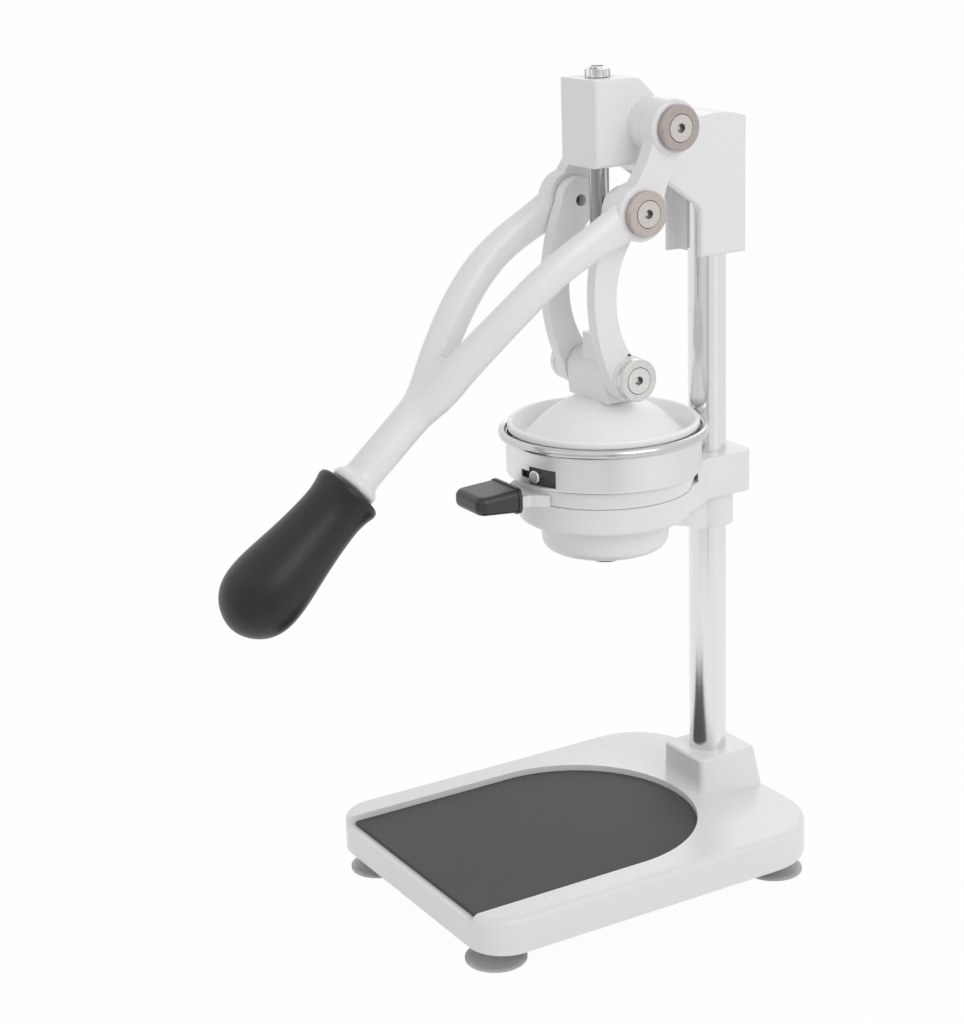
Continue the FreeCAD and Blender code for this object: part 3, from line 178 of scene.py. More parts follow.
class Paint:
    """One material while its nodes are being laid out."""

    def __init__(self, name: str) -> None:
        """Start an empty material.

        Args:
            name: Name of the material.
        """
        self.material = bpy.data.materials.new(name)
        self.material.use_nodes = True
        self.tree = self.material.node_tree
        self.tree.nodes.clear()

    def node(self, kind: str, settings: dict | None = None,
             values: dict | None = None) -> bpy.types.Node:
        """Add a node, set its options first and its sockets after.

        Args:
            kind: Blender's type name of the node.
            settings: Options of the node.
            values: Numbers, colours, sockets or values for its inputs, by name or index.

        Returns:
            The new node.
        """
        made = self.tree.nodes.new(kind)
        for key, option in (settings or {}).items():
            setattr(made, key, option)
        for key, given in (values or {}).items():
            source = given.source if isinstance(given, Value) else given
            if isinstance(source, bpy.types.NodeSocket):
                self.tree.links.new(source, made.inputs[key])
            else:
                made.inputs[key].default_value = source
        return made

    def place(self, stretch: Point = (1.0, 1.0, 1.0),
              centre: Point = (0.0, 0.0, 0.0)) -> bpy.types.NodeSocket:
        """Point on the surface, centred and stretched.

        Args:
            stretch: Factor along each axis.
            centre: Point that becomes the pattern's origin, in metres.

        Returns:
            The socket of the point.
        """
        coordinates = self.node("ShaderNodeTexCoord").outputs["Object"]
        shift = tuple(-c * s for c, s in zip(centre, stretch))
        values = {"Vector": coordinates, "Scale": stretch, "Location": shift}
        return self.node("ShaderNodeMapping", {}, values).outputs[0]

    def noise(self, scale: float, detail: float = 2.0,
              vector: bpy.types.NodeSocket | None = None) -> Value:
        """Cloudy noise from 0 to 1.

        Args:
            scale: Cells per metre.
            detail: Octaves.
            vector: Point to read it at, or the plain point on the surface.

        Returns:
            The noise.
        """
        values = {"Vector": vector or self.place(), "Scale": scale, "Detail": detail}
        return Value(self, self.node("ShaderNodeTexNoise", {}, values).outputs[0])

    def parts(self, centre: Point = (0.0, 0.0, 0.0)) -> tuple[Value, Value, Value]:
        """Distances of the surface from a point along X, Y and Z.

        Args:
            centre: The point.

        Returns:
            The three distances, in metres.
        """
        node = self.node("ShaderNodeSeparateXYZ", {}, {0: self.place(centre=centre)})
        return Value(self, node.outputs[0]), Value(self, node.outputs[1]), Value(self, node.outputs[2])

    def axle_radius(self, centre: Point) -> Value:
        """Distance from an axis along X.

        Args:
            centre: Point on the axis.

        Returns:
            The distance, in metres.
        """
        _, across, upright = self.parts(centre)
        return (across * across + upright * upright).maths("SQRT")

    def ring_noise(self, radius: Value, per_metre: float) -> Value:
        """Noise that changes only with a radius, as a lathe leaves it.

        Args:
            radius: Distance from the axis.
            per_metre: Rings per metre.

        Returns:
            The noise.
        """
        values = {"W": radius * per_metre, "Detail": 3.0}
        return Value(self, self.node("ShaderNodeTexNoise", {"noise_dimensions": "1D"}, values).outputs[0])

    def blend(self, factor: Value, first: Colour, second: Colour) -> bpy.types.NodeSocket:
        """Mix two colours.

        Args:
            factor: Share of the second colour.
            first: The first colour.
            second: The second colour.

        Returns:
            The mixed colour's socket.
        """
        values = {0: factor, 6: (*first, 1.0), 7: (*second, 1.0)}
        return self.node("ShaderNodeMix", {"data_type": "RGBA"}, values).outputs[2]

    def over(self, under: bpy.types.NodeSocket, factor: Value, colour: Colour) -> bpy.types.NodeSocket:
        """Lay a colour over another.

        Args:
            under: The colour below.
            factor: Share of the colour on top.
            colour: The colour on top.

        Returns:
            The mixed colour's socket.
        """
        values = {0: factor, 6: under, 7: (*colour, 1.0)}
        return self.node("ShaderNodeMix", {"data_type": "RGBA"}, values).outputs[2]

    def bump(self, height: Value, depth: float) -> bpy.types.NodeSocket:
        """Normal of a fine relief.

        Args:
            height: Relief from 0 to 1.
            depth: Its depth in metres.

        Returns:
            The normal's socket.
        """
        return self.node("ShaderNodeBump", {}, {"Height": height, "Distance": depth}).outputs[0]

    def finish(self, sockets: dict) -> bpy.types.Material:
        """Close the material with a Principled shader.

        Args:
            sockets: Values for the shader's sockets.

        Returns:
            The finished material.
        """
        shader = self.node("ShaderNodeBsdfPrincipled", {}, sockets)
        self.node("ShaderNodeOutputMaterial", {}, {0: shader.outputs[0]})
        return self.material


@dataclass(frozen=True)
class Coating:
    """Semi-gloss coat baked on a casting, with a faint orange peel."""

    name: str
    light: Colour
    dim: Colour
    roughness: float = 0.30
    spread: float = 0.10
    coat: float = 0.15
    coat_roughness: float = 0.12
    patch: float = 22.0
    peel: float = 1100.0
    peels_per_mottle: float = 12.0
    peel_depth: float = 0.00002
    sag: float = 60.0
    sag_depth: float = 0.00025
    # Painted shade: above this height the coat takes a dark colour that stands for shadow.
    collar_shade_from: float = 9.0
    collar_shade: Colour = (0.10, 0.095, 0.09)

    def make(self) -> bpy.types.Material:
        """Build the coat, with a dark painted shade over it above a height, for the funnel's collar inside
        the ring.
        """
        paint = Paint(self.name)
        patches = paint.noise(self.patch, 3.0)
        peel = paint.noise(self.peel, 1.0) * self.peel_depth
        relief = peel + paint.noise(self.sag, 1.0) * self.sag_depth
        _, _, height = paint.parts()
        coated = paint.blend(patches, self.light, self.dim)
        mottle = paint.noise(self.peel / self.peels_per_mottle, 2.0)
        return paint.finish({
            # Painted shade: a dark colour above a height, where the collar lies in the ring's shadow.
            "Base Color": paint.over(coated, height > self.collar_shade_from, self.collar_shade),
            "Roughness": mottle * self.spread + (self.roughness - self.spread / 2),
            "Coat Weight": self.coat,
            "Coat Roughness": self.coat_roughness,
            "Normal": paint.bump(relief, 1.0),
        })


@dataclass(frozen=True)
class Plating:
    """Bright plating on a drawn tube or rod, with fine marks along it."""

    name: str
    colour: Colour
    shade: Colour
    roughness: float = 0.10
    spread: float = 0.06
    grain: Grain = Grain.UPRIGHT
    lines: float = 1800.0
    line_depth: float = 0.000004
    band: float = 120.0
    band_low: float = 0.35
    band_high: float = 0.65

    def make(self) -> bpy.types.Material:
        """Build the plating, whose darker bands are painted reflection streaks on the rod and the nut and
        a faint change of tone elsewhere.
        """
        paint = Paint(self.name)
        streaks = paint.noise(self.lines, 2.0, paint.place(stretch=self.grain.value))
        # Painted reflection: bands of the darker colour stand for reflection streaks on the rod and the
        # nut.
        bands = paint.noise(self.band, 3.0, paint.place(stretch=Grain.UPRIGHT.value))
        shaded = bands.within(self.band_low, self.band_high)
        return paint.finish({
            "Base Color": paint.blend(shaded, self.colour, self.shade),
            "Metallic": 1.0,
            "Roughness": streaks * self.spread + (self.roughness - self.spread / 2),
            "Normal": paint.bump(streaks, self.line_depth),
        })


@dataclass(frozen=True)
class SpunSteel:
    """Satin steel brushed round the press axis."""

    name: str
    colour: Colour
    shade: Colour
    roughness: float = 0.30
    spread: float = 0.12
    lines: float = 2600.0
    line_depth: float = 0.000008
    haze: float = 18.0
    haze_share: float = 0.5
    rim_from: float = 0.2866
    rim_fade: float = 0.0008
    # Painted reflection: the rim's bead is coloured darker, as if it mirrored something dark.
    rim_painted_reflection: Colour = (0.60, 0.59, 0.59)
    rim_gloss: float = 0.20

    def make(self) -> bpy.types.Material:
        """Build the steel, smoother on the rolled rim and darker there by a painted dark reflection."""
        paint = Paint(self.name)
        around = paint.place(stretch=Grain.AROUND.value)
        lines = paint.noise(self.lines, 3.0, around)
        haze = paint.noise(self.haze, 3.0)
        _, _, height = paint.parts()
        mixed = lines * (1.0 - self.haze_share) + haze * self.haze_share
        wall = paint.blend(mixed, self.colour, self.shade)
        rim = height.within(self.rim_from, self.rim_from + self.rim_fade)
        even = self.roughness - self.spread / 2
        return paint.finish({
            # Painted reflection: the darker rim colour stands for a dark reflection on the bead.
            "Base Color": paint.over(wall, rim, self.rim_painted_reflection),
            "Metallic": 1.0,
            "Roughness": lines * self.spread + even - rim * self.rim_gloss,
            "Normal": paint.bump(lines, self.line_depth),
        })


@dataclass(frozen=True)
class TurnedPlate:
    """Nickel plate over lathe rings about an axis along X."""

    name: str
    colour: Colour
    shade: Colour
    centre: Point
    roughness: float = 0.28
    spread: float = 0.14
    rings: float = 2200.0
    ring_depth: float = 0.00001
    ring_share: float = 0.35
    speckle: float = 1300.0
    speckle_low: float = 0.32
    speckle_high: float = 0.68
    speckle_spread: float = 0.05
    # Colour of the painted shade in the socket and in the gap round the screw's head.
    recess_shade: Colour = (0.10, 0.09, 0.085)
    socket_shade: float = 0.75
    socket_radius: float = 0.0027
    socket_floor: float = 0.0016
    gap_shade: float = 0.5
    rim_radius: float = 0.0081
    rim_width: float = 0.0003

    def make(self) -> bpy.types.Material:
        """Build the plate, with painted shade in the socket and in the gap round the screw's head."""
        paint = Paint(self.name)
        radius = paint.axle_radius(self.centre)
        rings = paint.ring_noise(radius, self.rings)
        speckle = paint.noise(self.speckle, 1.0).within(self.speckle_low, self.speckle_high)
        mixed = rings * self.ring_share + speckle * (1.0 - self.ring_share)
        clean = paint.blend(mixed, self.colour, self.shade)
        from_rim = (radius - self.rim_radius).maths("ABSOLUTE")
        # Painted shade: the socket outside its floor and the gap round the head are darkened where shade
        # falls.
        socket = (radius < self.socket_radius) * radius.within(self.socket_floor * 0.5, self.socket_floor)
        gap = 1.0 - from_rim.within(0.0, self.rim_width)
        recess_shade_mask = (socket * self.socket_shade).maths("MAXIMUM", gap * self.gap_shade)
        uneven = rings * self.spread + speckle * self.speckle_spread
        return paint.finish({
            "Base Color": paint.over(clean, recess_shade_mask, self.recess_shade),
            "Metallic": 1.0,
            "Roughness": uneven + (self.roughness - self.spread / 2),
            "Normal": paint.bump(rings + speckle, self.ring_depth),
        })


@dataclass(frozen=True)
class Rubber:
    """Matt rubber with a fine moulded grain."""

    name: str
    colour: Colour
    worn: Colour
    roughness: float = 0.55
    spread: float = 0.12
    cloud: float = 24.0
    grain: float = 1400.0
    grain_depth: float = 0.00003
    gloss: float = 0.35

    def make(self) -> bpy.types.Material:
        """Build the rubber."""
        paint = Paint(self.name)
        clouds = paint.noise(self.cloud, 4.0)
        grain = paint.noise(self.grain, 2.0)
        return paint.finish({
            "Base Color": paint.blend(clouds, self.colour, self.worn),
            "Roughness": clouds * self.spread + (self.roughness - self.spread / 2),
            "Specular IOR Level": self.gloss,
            "Normal": paint.bump(grain, self.grain_depth),
        })


@dataclass(frozen=True)
class Moulding:
    """Smooth moulded plastic, white or see-through."""

    name: str
    colour: Colour
    dim: Colour
    roughness: float = 0.34
    spread: float = 0.06
    clear: float = 0.0
    flow: float = 35.0
    flow_depth: float = 0.00006
    mottle: float = 280.0

    def make(self) -> bpy.types.Material:
        """Build the plastic."""
        paint = Paint(self.name)
        flow = paint.noise(self.flow, 2.0)
        mottle = paint.noise(self.mottle, 2.0)
        return paint.finish({
            "Base Color": paint.blend(flow, self.colour, self.dim),
            "Roughness": mottle * self.spread + (self.roughness - self.spread / 2),
            "Transmission Weight": self.clear,
            "Normal": paint.bump(flow, self.flow_depth),
        })


@dataclass(frozen=True)
class Hardware:
    """Plain zinc or bronze of screws, studs, nuts and bushes."""

    name: str
    colour: Colour
    shade: Colour
    smoothest: float = 0.25
    spread: float = 0.15
    spot: float = 700.0
    spot_depth: float = 0.00001

    def make(self) -> bpy.types.Material:
        """Build the metal."""
        paint = Paint(self.name)
        spots = paint.noise(self.spot, 3.0)
        return paint.finish({
            "Base Color": paint.blend(spots, self.colour, self.shade),
            "Metallic": 1.0,
            "Roughness": spots * self.spread + self.smoothest,
            "Normal": paint.bump(spots, self.spot_depth),
        })


PIVOT = (0.0, 0.0243, 0.4758)
CRANK = (0.0, 0.00105, 0.4284)
CROSS = (0.0, 0.0, 0.3276)

COAT = Coating("white_coat", (0.87, 0.87, 0.875), (0.845, 0.845, 0.85))
# The funnel's collar above 0.2648 m gets painted shade, as it lies in shadow inside the ring.
FUNNEL_COAT = Coating("funnel_coat", (0.885, 0.878, 0.876), (0.865, 0.857, 0.855), collar_shade_from=0.2648)
DOME_WHITE = Moulding("white_moulding", (1.0, 1.0, 1.0), (0.98, 0.98, 0.99), roughness=0.34)
FOOT_GREY = Moulding("foot_rubber", (0.56, 0.56, 0.57), (0.48, 0.48, 0.49), roughness=0.42, clear=0.35)
MAT = Rubber("mat_rubber", (0.062, 0.062, 0.065), (0.073, 0.073, 0.075), roughness=0.62)
GRIP = Rubber("grip_rubber", (0.007, 0.007, 0.008), (0.012, 0.012, 0.013), roughness=0.38, gloss=0.46)
TAB_RUBBER = Rubber("tab_rubber", (0.016, 0.016, 0.017), (0.024, 0.024, 0.025), roughness=0.32, gloss=0.65)
COLUMN_CHROME = Plating("column_chrome", (0.81, 0.79, 0.80), (0.77, 0.75, 0.76), roughness=0.16,
                        grain=Grain.AROUND, lines=5200.0, line_depth=0.000018)
# The rod's and the nut's dark bands are painted reflection streaks; the column's and the pegs' bands are a
# faint change of tone.
ROD_CHROME = Plating("rod_chrome", (0.58, 0.58, 0.59), (0.28, 0.28, 0.29), roughness=0.09, band=420.0)
PEG_CHROME = Plating("peg_chrome", (0.80, 0.80, 0.80), (0.74, 0.74, 0.74), roughness=0.30)
NUT_CHROME = Plating("nut_chrome", (0.94, 0.94, 0.94), (0.30, 0.30, 0.30), roughness=0.20, band=420.0)
STEEL = SpunSteel("spun_steel", (0.83, 0.815, 0.815), (0.74, 0.725, 0.725), roughness=0.40)
DARK_STEEL = Hardware("dark_steel", (0.26, 0.235, 0.22), (0.18, 0.165, 0.155))
PIVOT_NICKEL = TurnedPlate("pivot_nickel", (0.54, 0.485, 0.46), (0.33, 0.285, 0.27), PIVOT)
CRANK_NICKEL = TurnedPlate("crank_nickel", (0.62, 0.56, 0.53), (0.42, 0.365, 0.345), CRANK)
CROSS_NICKEL = TurnedPlate("cross_nickel", (0.76, 0.75, 0.73), (0.58, 0.57, 0.55), CROSS)
PIVOT_SCREW = TurnedPlate("pivot_screw_nickel", (0.72, 0.675, 0.645), (0.52, 0.48, 0.45), PIVOT)
CRANK_SCREW = TurnedPlate("crank_screw_nickel", (0.72, 0.675, 0.645), (0.52, 0.48, 0.45), CRANK)
CROSS_SCREW = TurnedPlate("cross_screw_nickel", (0.78, 0.77, 0.75), (0.62, 0.61, 0.59), CROSS)
ZINC = Hardware("zinc", (0.62, 0.64, 0.66), (0.50, 0.52, 0.54))
BRONZE = Hardware("bronze", (0.60, 0.42, 0.20), (0.48, 0.33, 0.15))


def hang(name: str, shape: bmesh.types.BMesh) -> bpy.types.Object:
    """Turn a worked mesh into an object of the scene.

    Args:
        name: Name of the object.
        shape: Its mesh, which is used up.

    Returns:
        The new object.
    """
    mesh = bpy.data.meshes.new(name)
    shape.to_mesh(mesh)
    shape.free()
    made = bpy.data.objects.new(name, mesh)
    bpy.context.scene.collection.objects.link(made)
    return made


class Workshop:
    """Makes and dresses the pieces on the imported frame."""

    def __init__(self, nodes: dict, record: dict) -> None:
        """Remember the frame.

        Args:
            nodes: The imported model's nodes by name.
            record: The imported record.
        """
        self.nodes = nodes
        self.slots = {part["node"]: part["material_slot"] for part in record["subparts"]}
        self.materials = {}
        self.count = 0

    def material(self, finish: object) -> bpy.types.Material:
        """The material of a finish, made once.

        Args:
            finish: One of the finishes above.

        Returns:
            Its material.
        """
        if finish.name not in self.materials:
            self.materials[finish.name] = finish.make()
        return self.materials[finish.name]

    def paint(self, node: str, finish: object) -> None:
        """Dress a node as it stands.

        Args:
            node: Name of the node.
            finish: Its finish.
        """
        mesh = self.nodes[node].data
        mesh.materials.clear()
        mesh.materials.append(self.material(finish))
        self.count += 1
        LOG.info("%s painted with %s", node, finish.name)

    def skin(self, node: str, finish: object, edge: Edge = Edge.FINE) -> None:
        """Lay a finished surface over a rigid piece, made from a merged copy of its node.

        Args:
            node: Name of the node.
            finish: Its finish.
            edge: How far its arrises are broken.
        """
        self.soften(self.add(node + "_skin", self.merged(node), finish, node), edge)

    def merged(self, node: str) -> bmesh.types.BMesh:
        """Merged copy of a node's mesh.

        Args:
            node: Name of the node.

        Returns:
            The copy, which the caller frees or hands on.
        """
        shape = bmesh.new()
        shape.from_mesh(self.nodes[node].data)
        bmesh.ops.remove_doubles(shape, verts=shape.verts, dist=MERGE)
        bmesh.ops.dissolve_limit(shape, angle_limit=FLAT_ANGLE, verts=shape.verts,
                                 edges=shape.edges)
        return shape

    def add(self, name: str, shape: bmesh.types.BMesh, finish: object,
            node: str) -> bpy.types.Object:
        """Turn a worked mesh into a piece that stands for a node.

        Args:
            name: Name of the piece.
            shape: Its mesh, in metres in the frame.
            finish: Its finish.
            node: The node that it stands for.

        Returns:
            The new piece.
        """
        piece = hang(name, shape)
        piece.data.materials.append(self.material(finish))
        piece.data.shade_smooth()
        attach(piece, self.nodes[node]["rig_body"])
        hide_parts(node)
        self.count += 1
        LOG.info("%s: %d faces, %s", name, len(piece.data.polygons), finish.name)
        return piece

    def soften(self, piece: bpy.types.Object, edge: Edge) -> None:
        """Break the arrises and shade the rest smooth.

        Args:
            piece: The piece.
            edge: How far its arrises are broken.
        """
        limit = math.radians(ARRIS_ANGLE)
        piece.data.set_sharp_from_angle(angle=limit)
        if edge is not Edge.KEEN:
            bevel = piece.modifiers.new("broken_edges", "BEVEL")
            bevel.width = edge.value
            bevel.segments = BEVEL_STEPS
            bevel.limit_method = "ANGLE"
            bevel.angle_limit = limit
            bevel.miter_outer = "MITER_ARC"
        normals = piece.modifiers.new("even_shading", "WEIGHTED_NORMAL")
        normals.keep_sharp = edge is Edge.KEEN


@dataclass
class Base:
    """Cast base with its mat, feet, studs and nuts."""

    corners: tuple[str, ...] = ("front_left", "front_right", "rear_left", "rear_right")

    def build(self, shop: Workshop) -> None:
        """Dress the base.

        Args:
            shop: The workshop.
        """
        shop.skin("base_casting", COAT, Edge.CAST)
        shop.skin("base_mat", MAT, Edge.FINE)
        for corner in self.corners:
            shop.skin("foot_" + corner, FOOT_GREY, Edge.FINE)
        shop.skin("foot_studs", ZINC)
        shop.skin("foot_nuts", ZINC)


@dataclass
class Column:
    """Plated tube with the plug, washer and bolt that hold it down."""

    def build(self, shop: Workshop) -> None:
        """Dress the column.

        Args:
            shop: The workshop.
        """
        shop.skin("column_tube", COLUMN_CHROME)
        shop.paint("column_insert", ZINC)
        shop.skin("column_washer", ZINC)
        shop.skin("column_bolt", ZINC)


@dataclass
class Head:
    """Cast head with its set screws and bushes."""

    def build(self, shop: Workshop) -> None:
        """Dress the head.

        Args:
            shop: The workshop.
        """
        shop.skin("head_casting", COAT, Edge.CAST)
        shop.skin("head_set_screws", ZINC)
        for bush in ("ram_bush_lower", "ram_bush_upper", "pivot_bushes"):
            shop.skin(bush, BRONZE)


@dataclass
class Bracket:
    """Cast bracket with its set screw."""

    def build(self, shop: Workshop) -> None:
        """Dress the bracket.

        Args:
            shop: The workshop.
        """
        shop.skin("cup_bracket", COAT, Edge.FINE)
        shop.skin("bracket_set_screw", ZINC)


@dataclass
class Lever:
    """Forked lever with its grip, shaft, pins, discs and screws.

    A section of an arm or of the shank is its centre, its half width and half height in metres, and
    how far its top leans outwards in degrees.
    """

    arm: tuple[Section, ...] = (
        (0.0380, -0.0075, 0.4243, 0.0069, 0.0134, 0.0),
        (0.0380, -0.0240, 0.4165, 0.0072, 0.0114, 0.0),
        (0.0368, -0.0460, 0.4050, 0.0082, 0.0106, 10.0),
        (0.0342, -0.0630, 0.3932, 0.0090, 0.0107, 25.0),
        (0.0298, -0.0785, 0.3789, 0.0094, 0.0108, 35.0),
        (0.0228, -0.0938, 0.3626, 0.0096, 0.0109, 35.0),
        (0.0148, -0.1075, 0.3465, 0.0098, 0.0110, 30.0),
        (0.0082, -0.1195, 0.3312, 0.0095, 0.0106, 10.0),
        (0.0015, -0.1330, 0.3188, 0.0088, 0.0098, 0.0),
    )
    shank: tuple[Section, ...] = (
        (0.0, -0.1040, 0.3462, 0.0100, 0.0090, 0.0),
        (0.0, -0.1090, 0.3405, 0.0155, 0.0107, 0.0),
        (0.0, -0.1145, 0.3347, 0.0175, 0.0114, 0.0),
        (0.0, -0.1210, 0.3290, 0.0160, 0.0115, 0.0),
        (0.0, -0.1300, 0.3214, 0.0120, 0.0113, 0.0),
        (0.0, -0.1400, 0.3128, 0.0112, 0.0111, 0.0),
        (0.0, -0.1580, 0.2972, 0.0112, 0.0111, 0.0),
        (0.0, -0.1690, 0.2877, 0.0113, 0.0112, 0.0),
        (0.0, -0.1706, 0.2863, 0.0140, 0.0140, 0.0),
        (0.0, -0.1730, 0.2842, 0.0150, 0.0150, 0.0),
        (0.0, -0.1754, 0.2821, 0.0148, 0.0148, 0.0),
    )
    hub_cut: Point = (0.0, -0.0152, 0.4207)
    arm_way: Point = (0.0, -0.903, -0.430)
    collar_cut: Point = (0.0, -0.17207, 0.28501)
    shank_way: Point = (0.0, -0.7553, -0.6554)
    steps: int = 6
    sides: int = 40
    grid: float = 0.0009
    rounds: int = 55
    share_per_round: float = 0.5

    def build(self, shop: Workshop) -> None:
        """Dress the lever.

        Args:
            shop: The workshop.
        """
        shop.soften(shop.add("lever_ends", self.ends(shop), COAT, "lever_fork"), Edge.CAST)
        self.blend(shop.add("lever_arms", self.arms(), COAT, "lever_fork"))
        shop.skin("handle_grip", GRIP, Edge.CAST)
        shop.skin("pivot_shaft", ZINC)
        shop.skin("crank_pins", DARK_STEEL)
        shop.skin("crank_bushes", BRONZE)
        for side in ("right", "left"):
            shop.skin("pivot_disc_" + side, PIVOT_NICKEL, Edge.KEEN)
            shop.skin("crank_disc_" + side, CRANK_NICKEL, Edge.KEEN)
        shop.skin("pivot_screws", PIVOT_SCREW)
        shop.skin("crank_screws", CRANK_SCREW)

    def ends(self, shop: Workshop) -> bmesh.types.BMesh:
        """Hubs, webs, collar and tang of the casting, without the arms between them.

        Args:
            shop: The workshop.

        Returns:
            The mesh, closed where the arms were.
        """
        shape = shop.merged("lever_fork")
        for point, way in ((self.hub_cut, self.arm_way), (self.collar_cut, self.shank_way)):
            everything = list(shape.verts) + list(shape.edges) + list(shape.faces)
            bmesh.ops.bisect_plane(shape, geom=everything, dist=CUT_TOLERANCE, plane_co=point,
                                   plane_no=way)
        between = [face for face in shape.faces if self.is_between(face.calc_center_median())]
        bmesh.ops.delete(shape, geom=between, context="FACES")
        rims = [edge for edge in shape.edges if edge.is_boundary]
        bmesh.ops.holes_fill(shape, edges=rims, sides=0)
        return shape

    def is_between(self, point: Vector) -> bool:
        """Whether a point lies past the hubs and before the collar.

        Args:
            point: The point.

        Returns:
            True where the arms and the shank are.
        """
        past_hubs = (point - Vector(self.hub_cut)).dot(Vector(self.arm_way)) > 0.0
        before_collar = (point - Vector(self.collar_cut)).dot(Vector(self.shank_way)) < 0.0
        return past_hubs and before_collar

    def arms(self) -> bmesh.types.BMesh:
        """Both arms and the shank as closed tubes that run into each other.

        Returns:
            Their mesh.
        """
        shape = bmesh.new()
        mirrored = tuple((-x, y, z, across, upright, -lean)
                         for x, y, z, across, upright, lean in self.arm)
        for sections in (self.arm, mirrored, self.shank):
            self.tube(shape, self.eased(sections))
        bmesh.ops.recalc_face_normals(shape, faces=shape.faces)
        return shape

    def eased(self, sections: tuple[Section, ...]) -> list[Vector]:
        """Closer sections along a smooth curve through the given ones.

        Args:
            sections: The given sections.

        Returns:
            The closer ones, each as a vector of its six numbers.
        """
        rows = [Vector(section) for section in sections]
        rows = [rows[0] * 2 - rows[1]] + rows + [rows[-1] * 2 - rows[-2]]
        eased = []
        for before, first, second, after in zip(rows, rows[1:], rows[2:], rows[3:]):
            for step in range(self.steps):
                t = step / self.steps
                eased.append((first * 2 + (second - before) * t
                              + (before * 2 - first * 5 + second * 4 - after) * t ** 2
                              + (first * 3 - before - second * 3 + after) * t ** 3) * 0.5)
        return eased + [rows[-2]]

    def tube(self, shape: bmesh.types.BMesh, sections: list[Vector]) -> None:
        """Add a closed tube through elliptic sections, each square to the line through its neighbours.

        Args:
            shape: The mesh that it is added to.
            sections: The sections.
        """
        centres = [Vector(section[:3]) for section in sections]
        last = len(centres) - 1
        rings = []
        for index, section in enumerate(sections):
            ahead = (centres[min(index + 1, last)] - centres[max(index - 1, 0)]).normalized()
            side = Vector((-ahead.y, ahead.x, 0.0)).normalized()
            turn = Matrix((side, side.cross(ahead), ahead)).transposed().to_4x4()
            lean = Matrix.Rotation(math.radians(section[5]), 4, "Z")
            size = Matrix.Diagonal((section[3], section[4], 1.0, 1.0))
            place = Matrix.Translation(centres[index]) @ turn @ lean @ size
            ring = bmesh.ops.create_circle(shape, segments=self.sides, radius=1.0,
                                           cap_ends=index in (0, last), matrix=place)
            rings.append(list({edge for vert in ring["verts"] for edge in vert.link_edges}))
        for near, far in zip(rings, rings[1:]):
            bmesh.ops.bridge_loops(shape, edges=near + far)

    def blend(self, piece: bpy.types.Object) -> None:
        """Melt the tubes into one casting with soft inner corners.

        Args:
            piece: The piece that holds them.
        """
        melt = piece.modifiers.new("one_casting", "REMESH")
        melt.mode = "VOXEL"
        melt.voxel_size = self.grid
        melt.use_smooth_shade = True
        even = piece.modifiers.new("soft_corners", "SMOOTH")
        even.factor = self.share_per_round
        even.iterations = self.rounds


@dataclass
class Links:
    """Two bowed links with their bushes."""

    def build(self, shop: Workshop) -> None:
        """Dress the links.

        Args:
            shop: The workshop.
        """
        for side in ("right", "left"):
            shop.skin("link_" + side, COAT, Edge.CAST)
        shop.skin("link_bushes", BRONZE)


@dataclass
class Ram:
    """Rod, nut, crosshead, pins, discs and dome."""

    def build(self, shop: Workshop) -> None:
        """Dress the ram.

        Args:
            shop: The workshop.
        """
        shop.skin("ram_rod", ROD_CHROME)
        shop.skin("ram_nut", NUT_CHROME)
        shop.skin("crosshead", COAT, Edge.CAST)
        shop.skin("crosshead_pins", ZINC)
        for side in ("right", "left"):
            shop.skin("cross_disc_" + side, CROSS_NICKEL, Edge.KEEN)
        shop.skin("cross_screws", CROSS_SCREW)
        shop.skin("press_dome", DOME_WHITE, Edge.FINE)
        shop.skin("dome_screw", ZINC)


@dataclass
class Cup:
    """Steel ring, funnel, pegs, spout, tab grip, strainer and cone."""

    def build(self, shop: Workshop) -> None:
        """Dress the cup.

        Args:
            shop: The workshop.
        """
        shop.skin("steel_ring", STEEL, Edge.KEEN)
        shop.skin("juice_funnel", FUNNEL_COAT, Edge.FINE)
        shop.skin("bayonet_pegs", PEG_CHROME, Edge.SOFT)
        shop.skin("spout_ring", DARK_STEEL)
        shop.skin("tab_grip", TAB_RUBBER, Edge.FINE)
        shop.skin("strainer_plate", STEEL, Edge.KEEN)
        shop.skin("reamer_cone", DOME_WHITE, Edge.FINE)
        shop.skin("reamer_screw", ZINC)


@dataclass
class PhotoView:
    """Camera that stands where the photograph's did."""

    place: Point = (1.06235, -0.70408, 0.62979)
    ahead: Point = (-0.82706, 0.47927, -0.29371)
    right: Point = (0.50986, 0.85962, -0.03302)
    above: Point = (-0.23665, 0.17706, 0.95532)
    lens: float = 75.04
    nearest: float = 0.05
    farthest: float = 60.0

    def build(self) -> None:
        """Set the camera up."""
        camera = bpy.data.cameras.new("photo_view")
        camera.lens = self.lens
        camera.clip_start = self.nearest
        camera.clip_end = self.farthest
        holder = bpy.data.objects.new("photo_view", camera)
        bpy.context.scene.collection.objects.link(holder)
        axes = Matrix((self.right, self.above, tuple(-c for c in self.ahead))).transposed()
        holder.matrix_world = Matrix.Translation(self.place) @ axes.to_4x4()
        bpy.context.scene.camera = holder


@dataclass(frozen=True)
class Lamp:
    """Soft square lamp aimed at the middle of the press."""

    name: str
    place: Point
    size: float
    power: float
    aim: Point = (0.0, 0.0, 0.25)

    def build(self) -> None:
        """Hang the lamp."""
        light = bpy.data.lights.new(self.name, "AREA")
        light.shape = "SQUARE"
        light.size = self.size
        light.energy = self.power
        holder = bpy.data.objects.new(self.name, light)
        bpy.context.scene.collection.objects.link(holder)
        holder.location = self.place
        beam = Vector(self.aim) - Vector(self.place)
        holder.rotation_euler = beam.to_track_quat("-Z", "Y").to_euler()


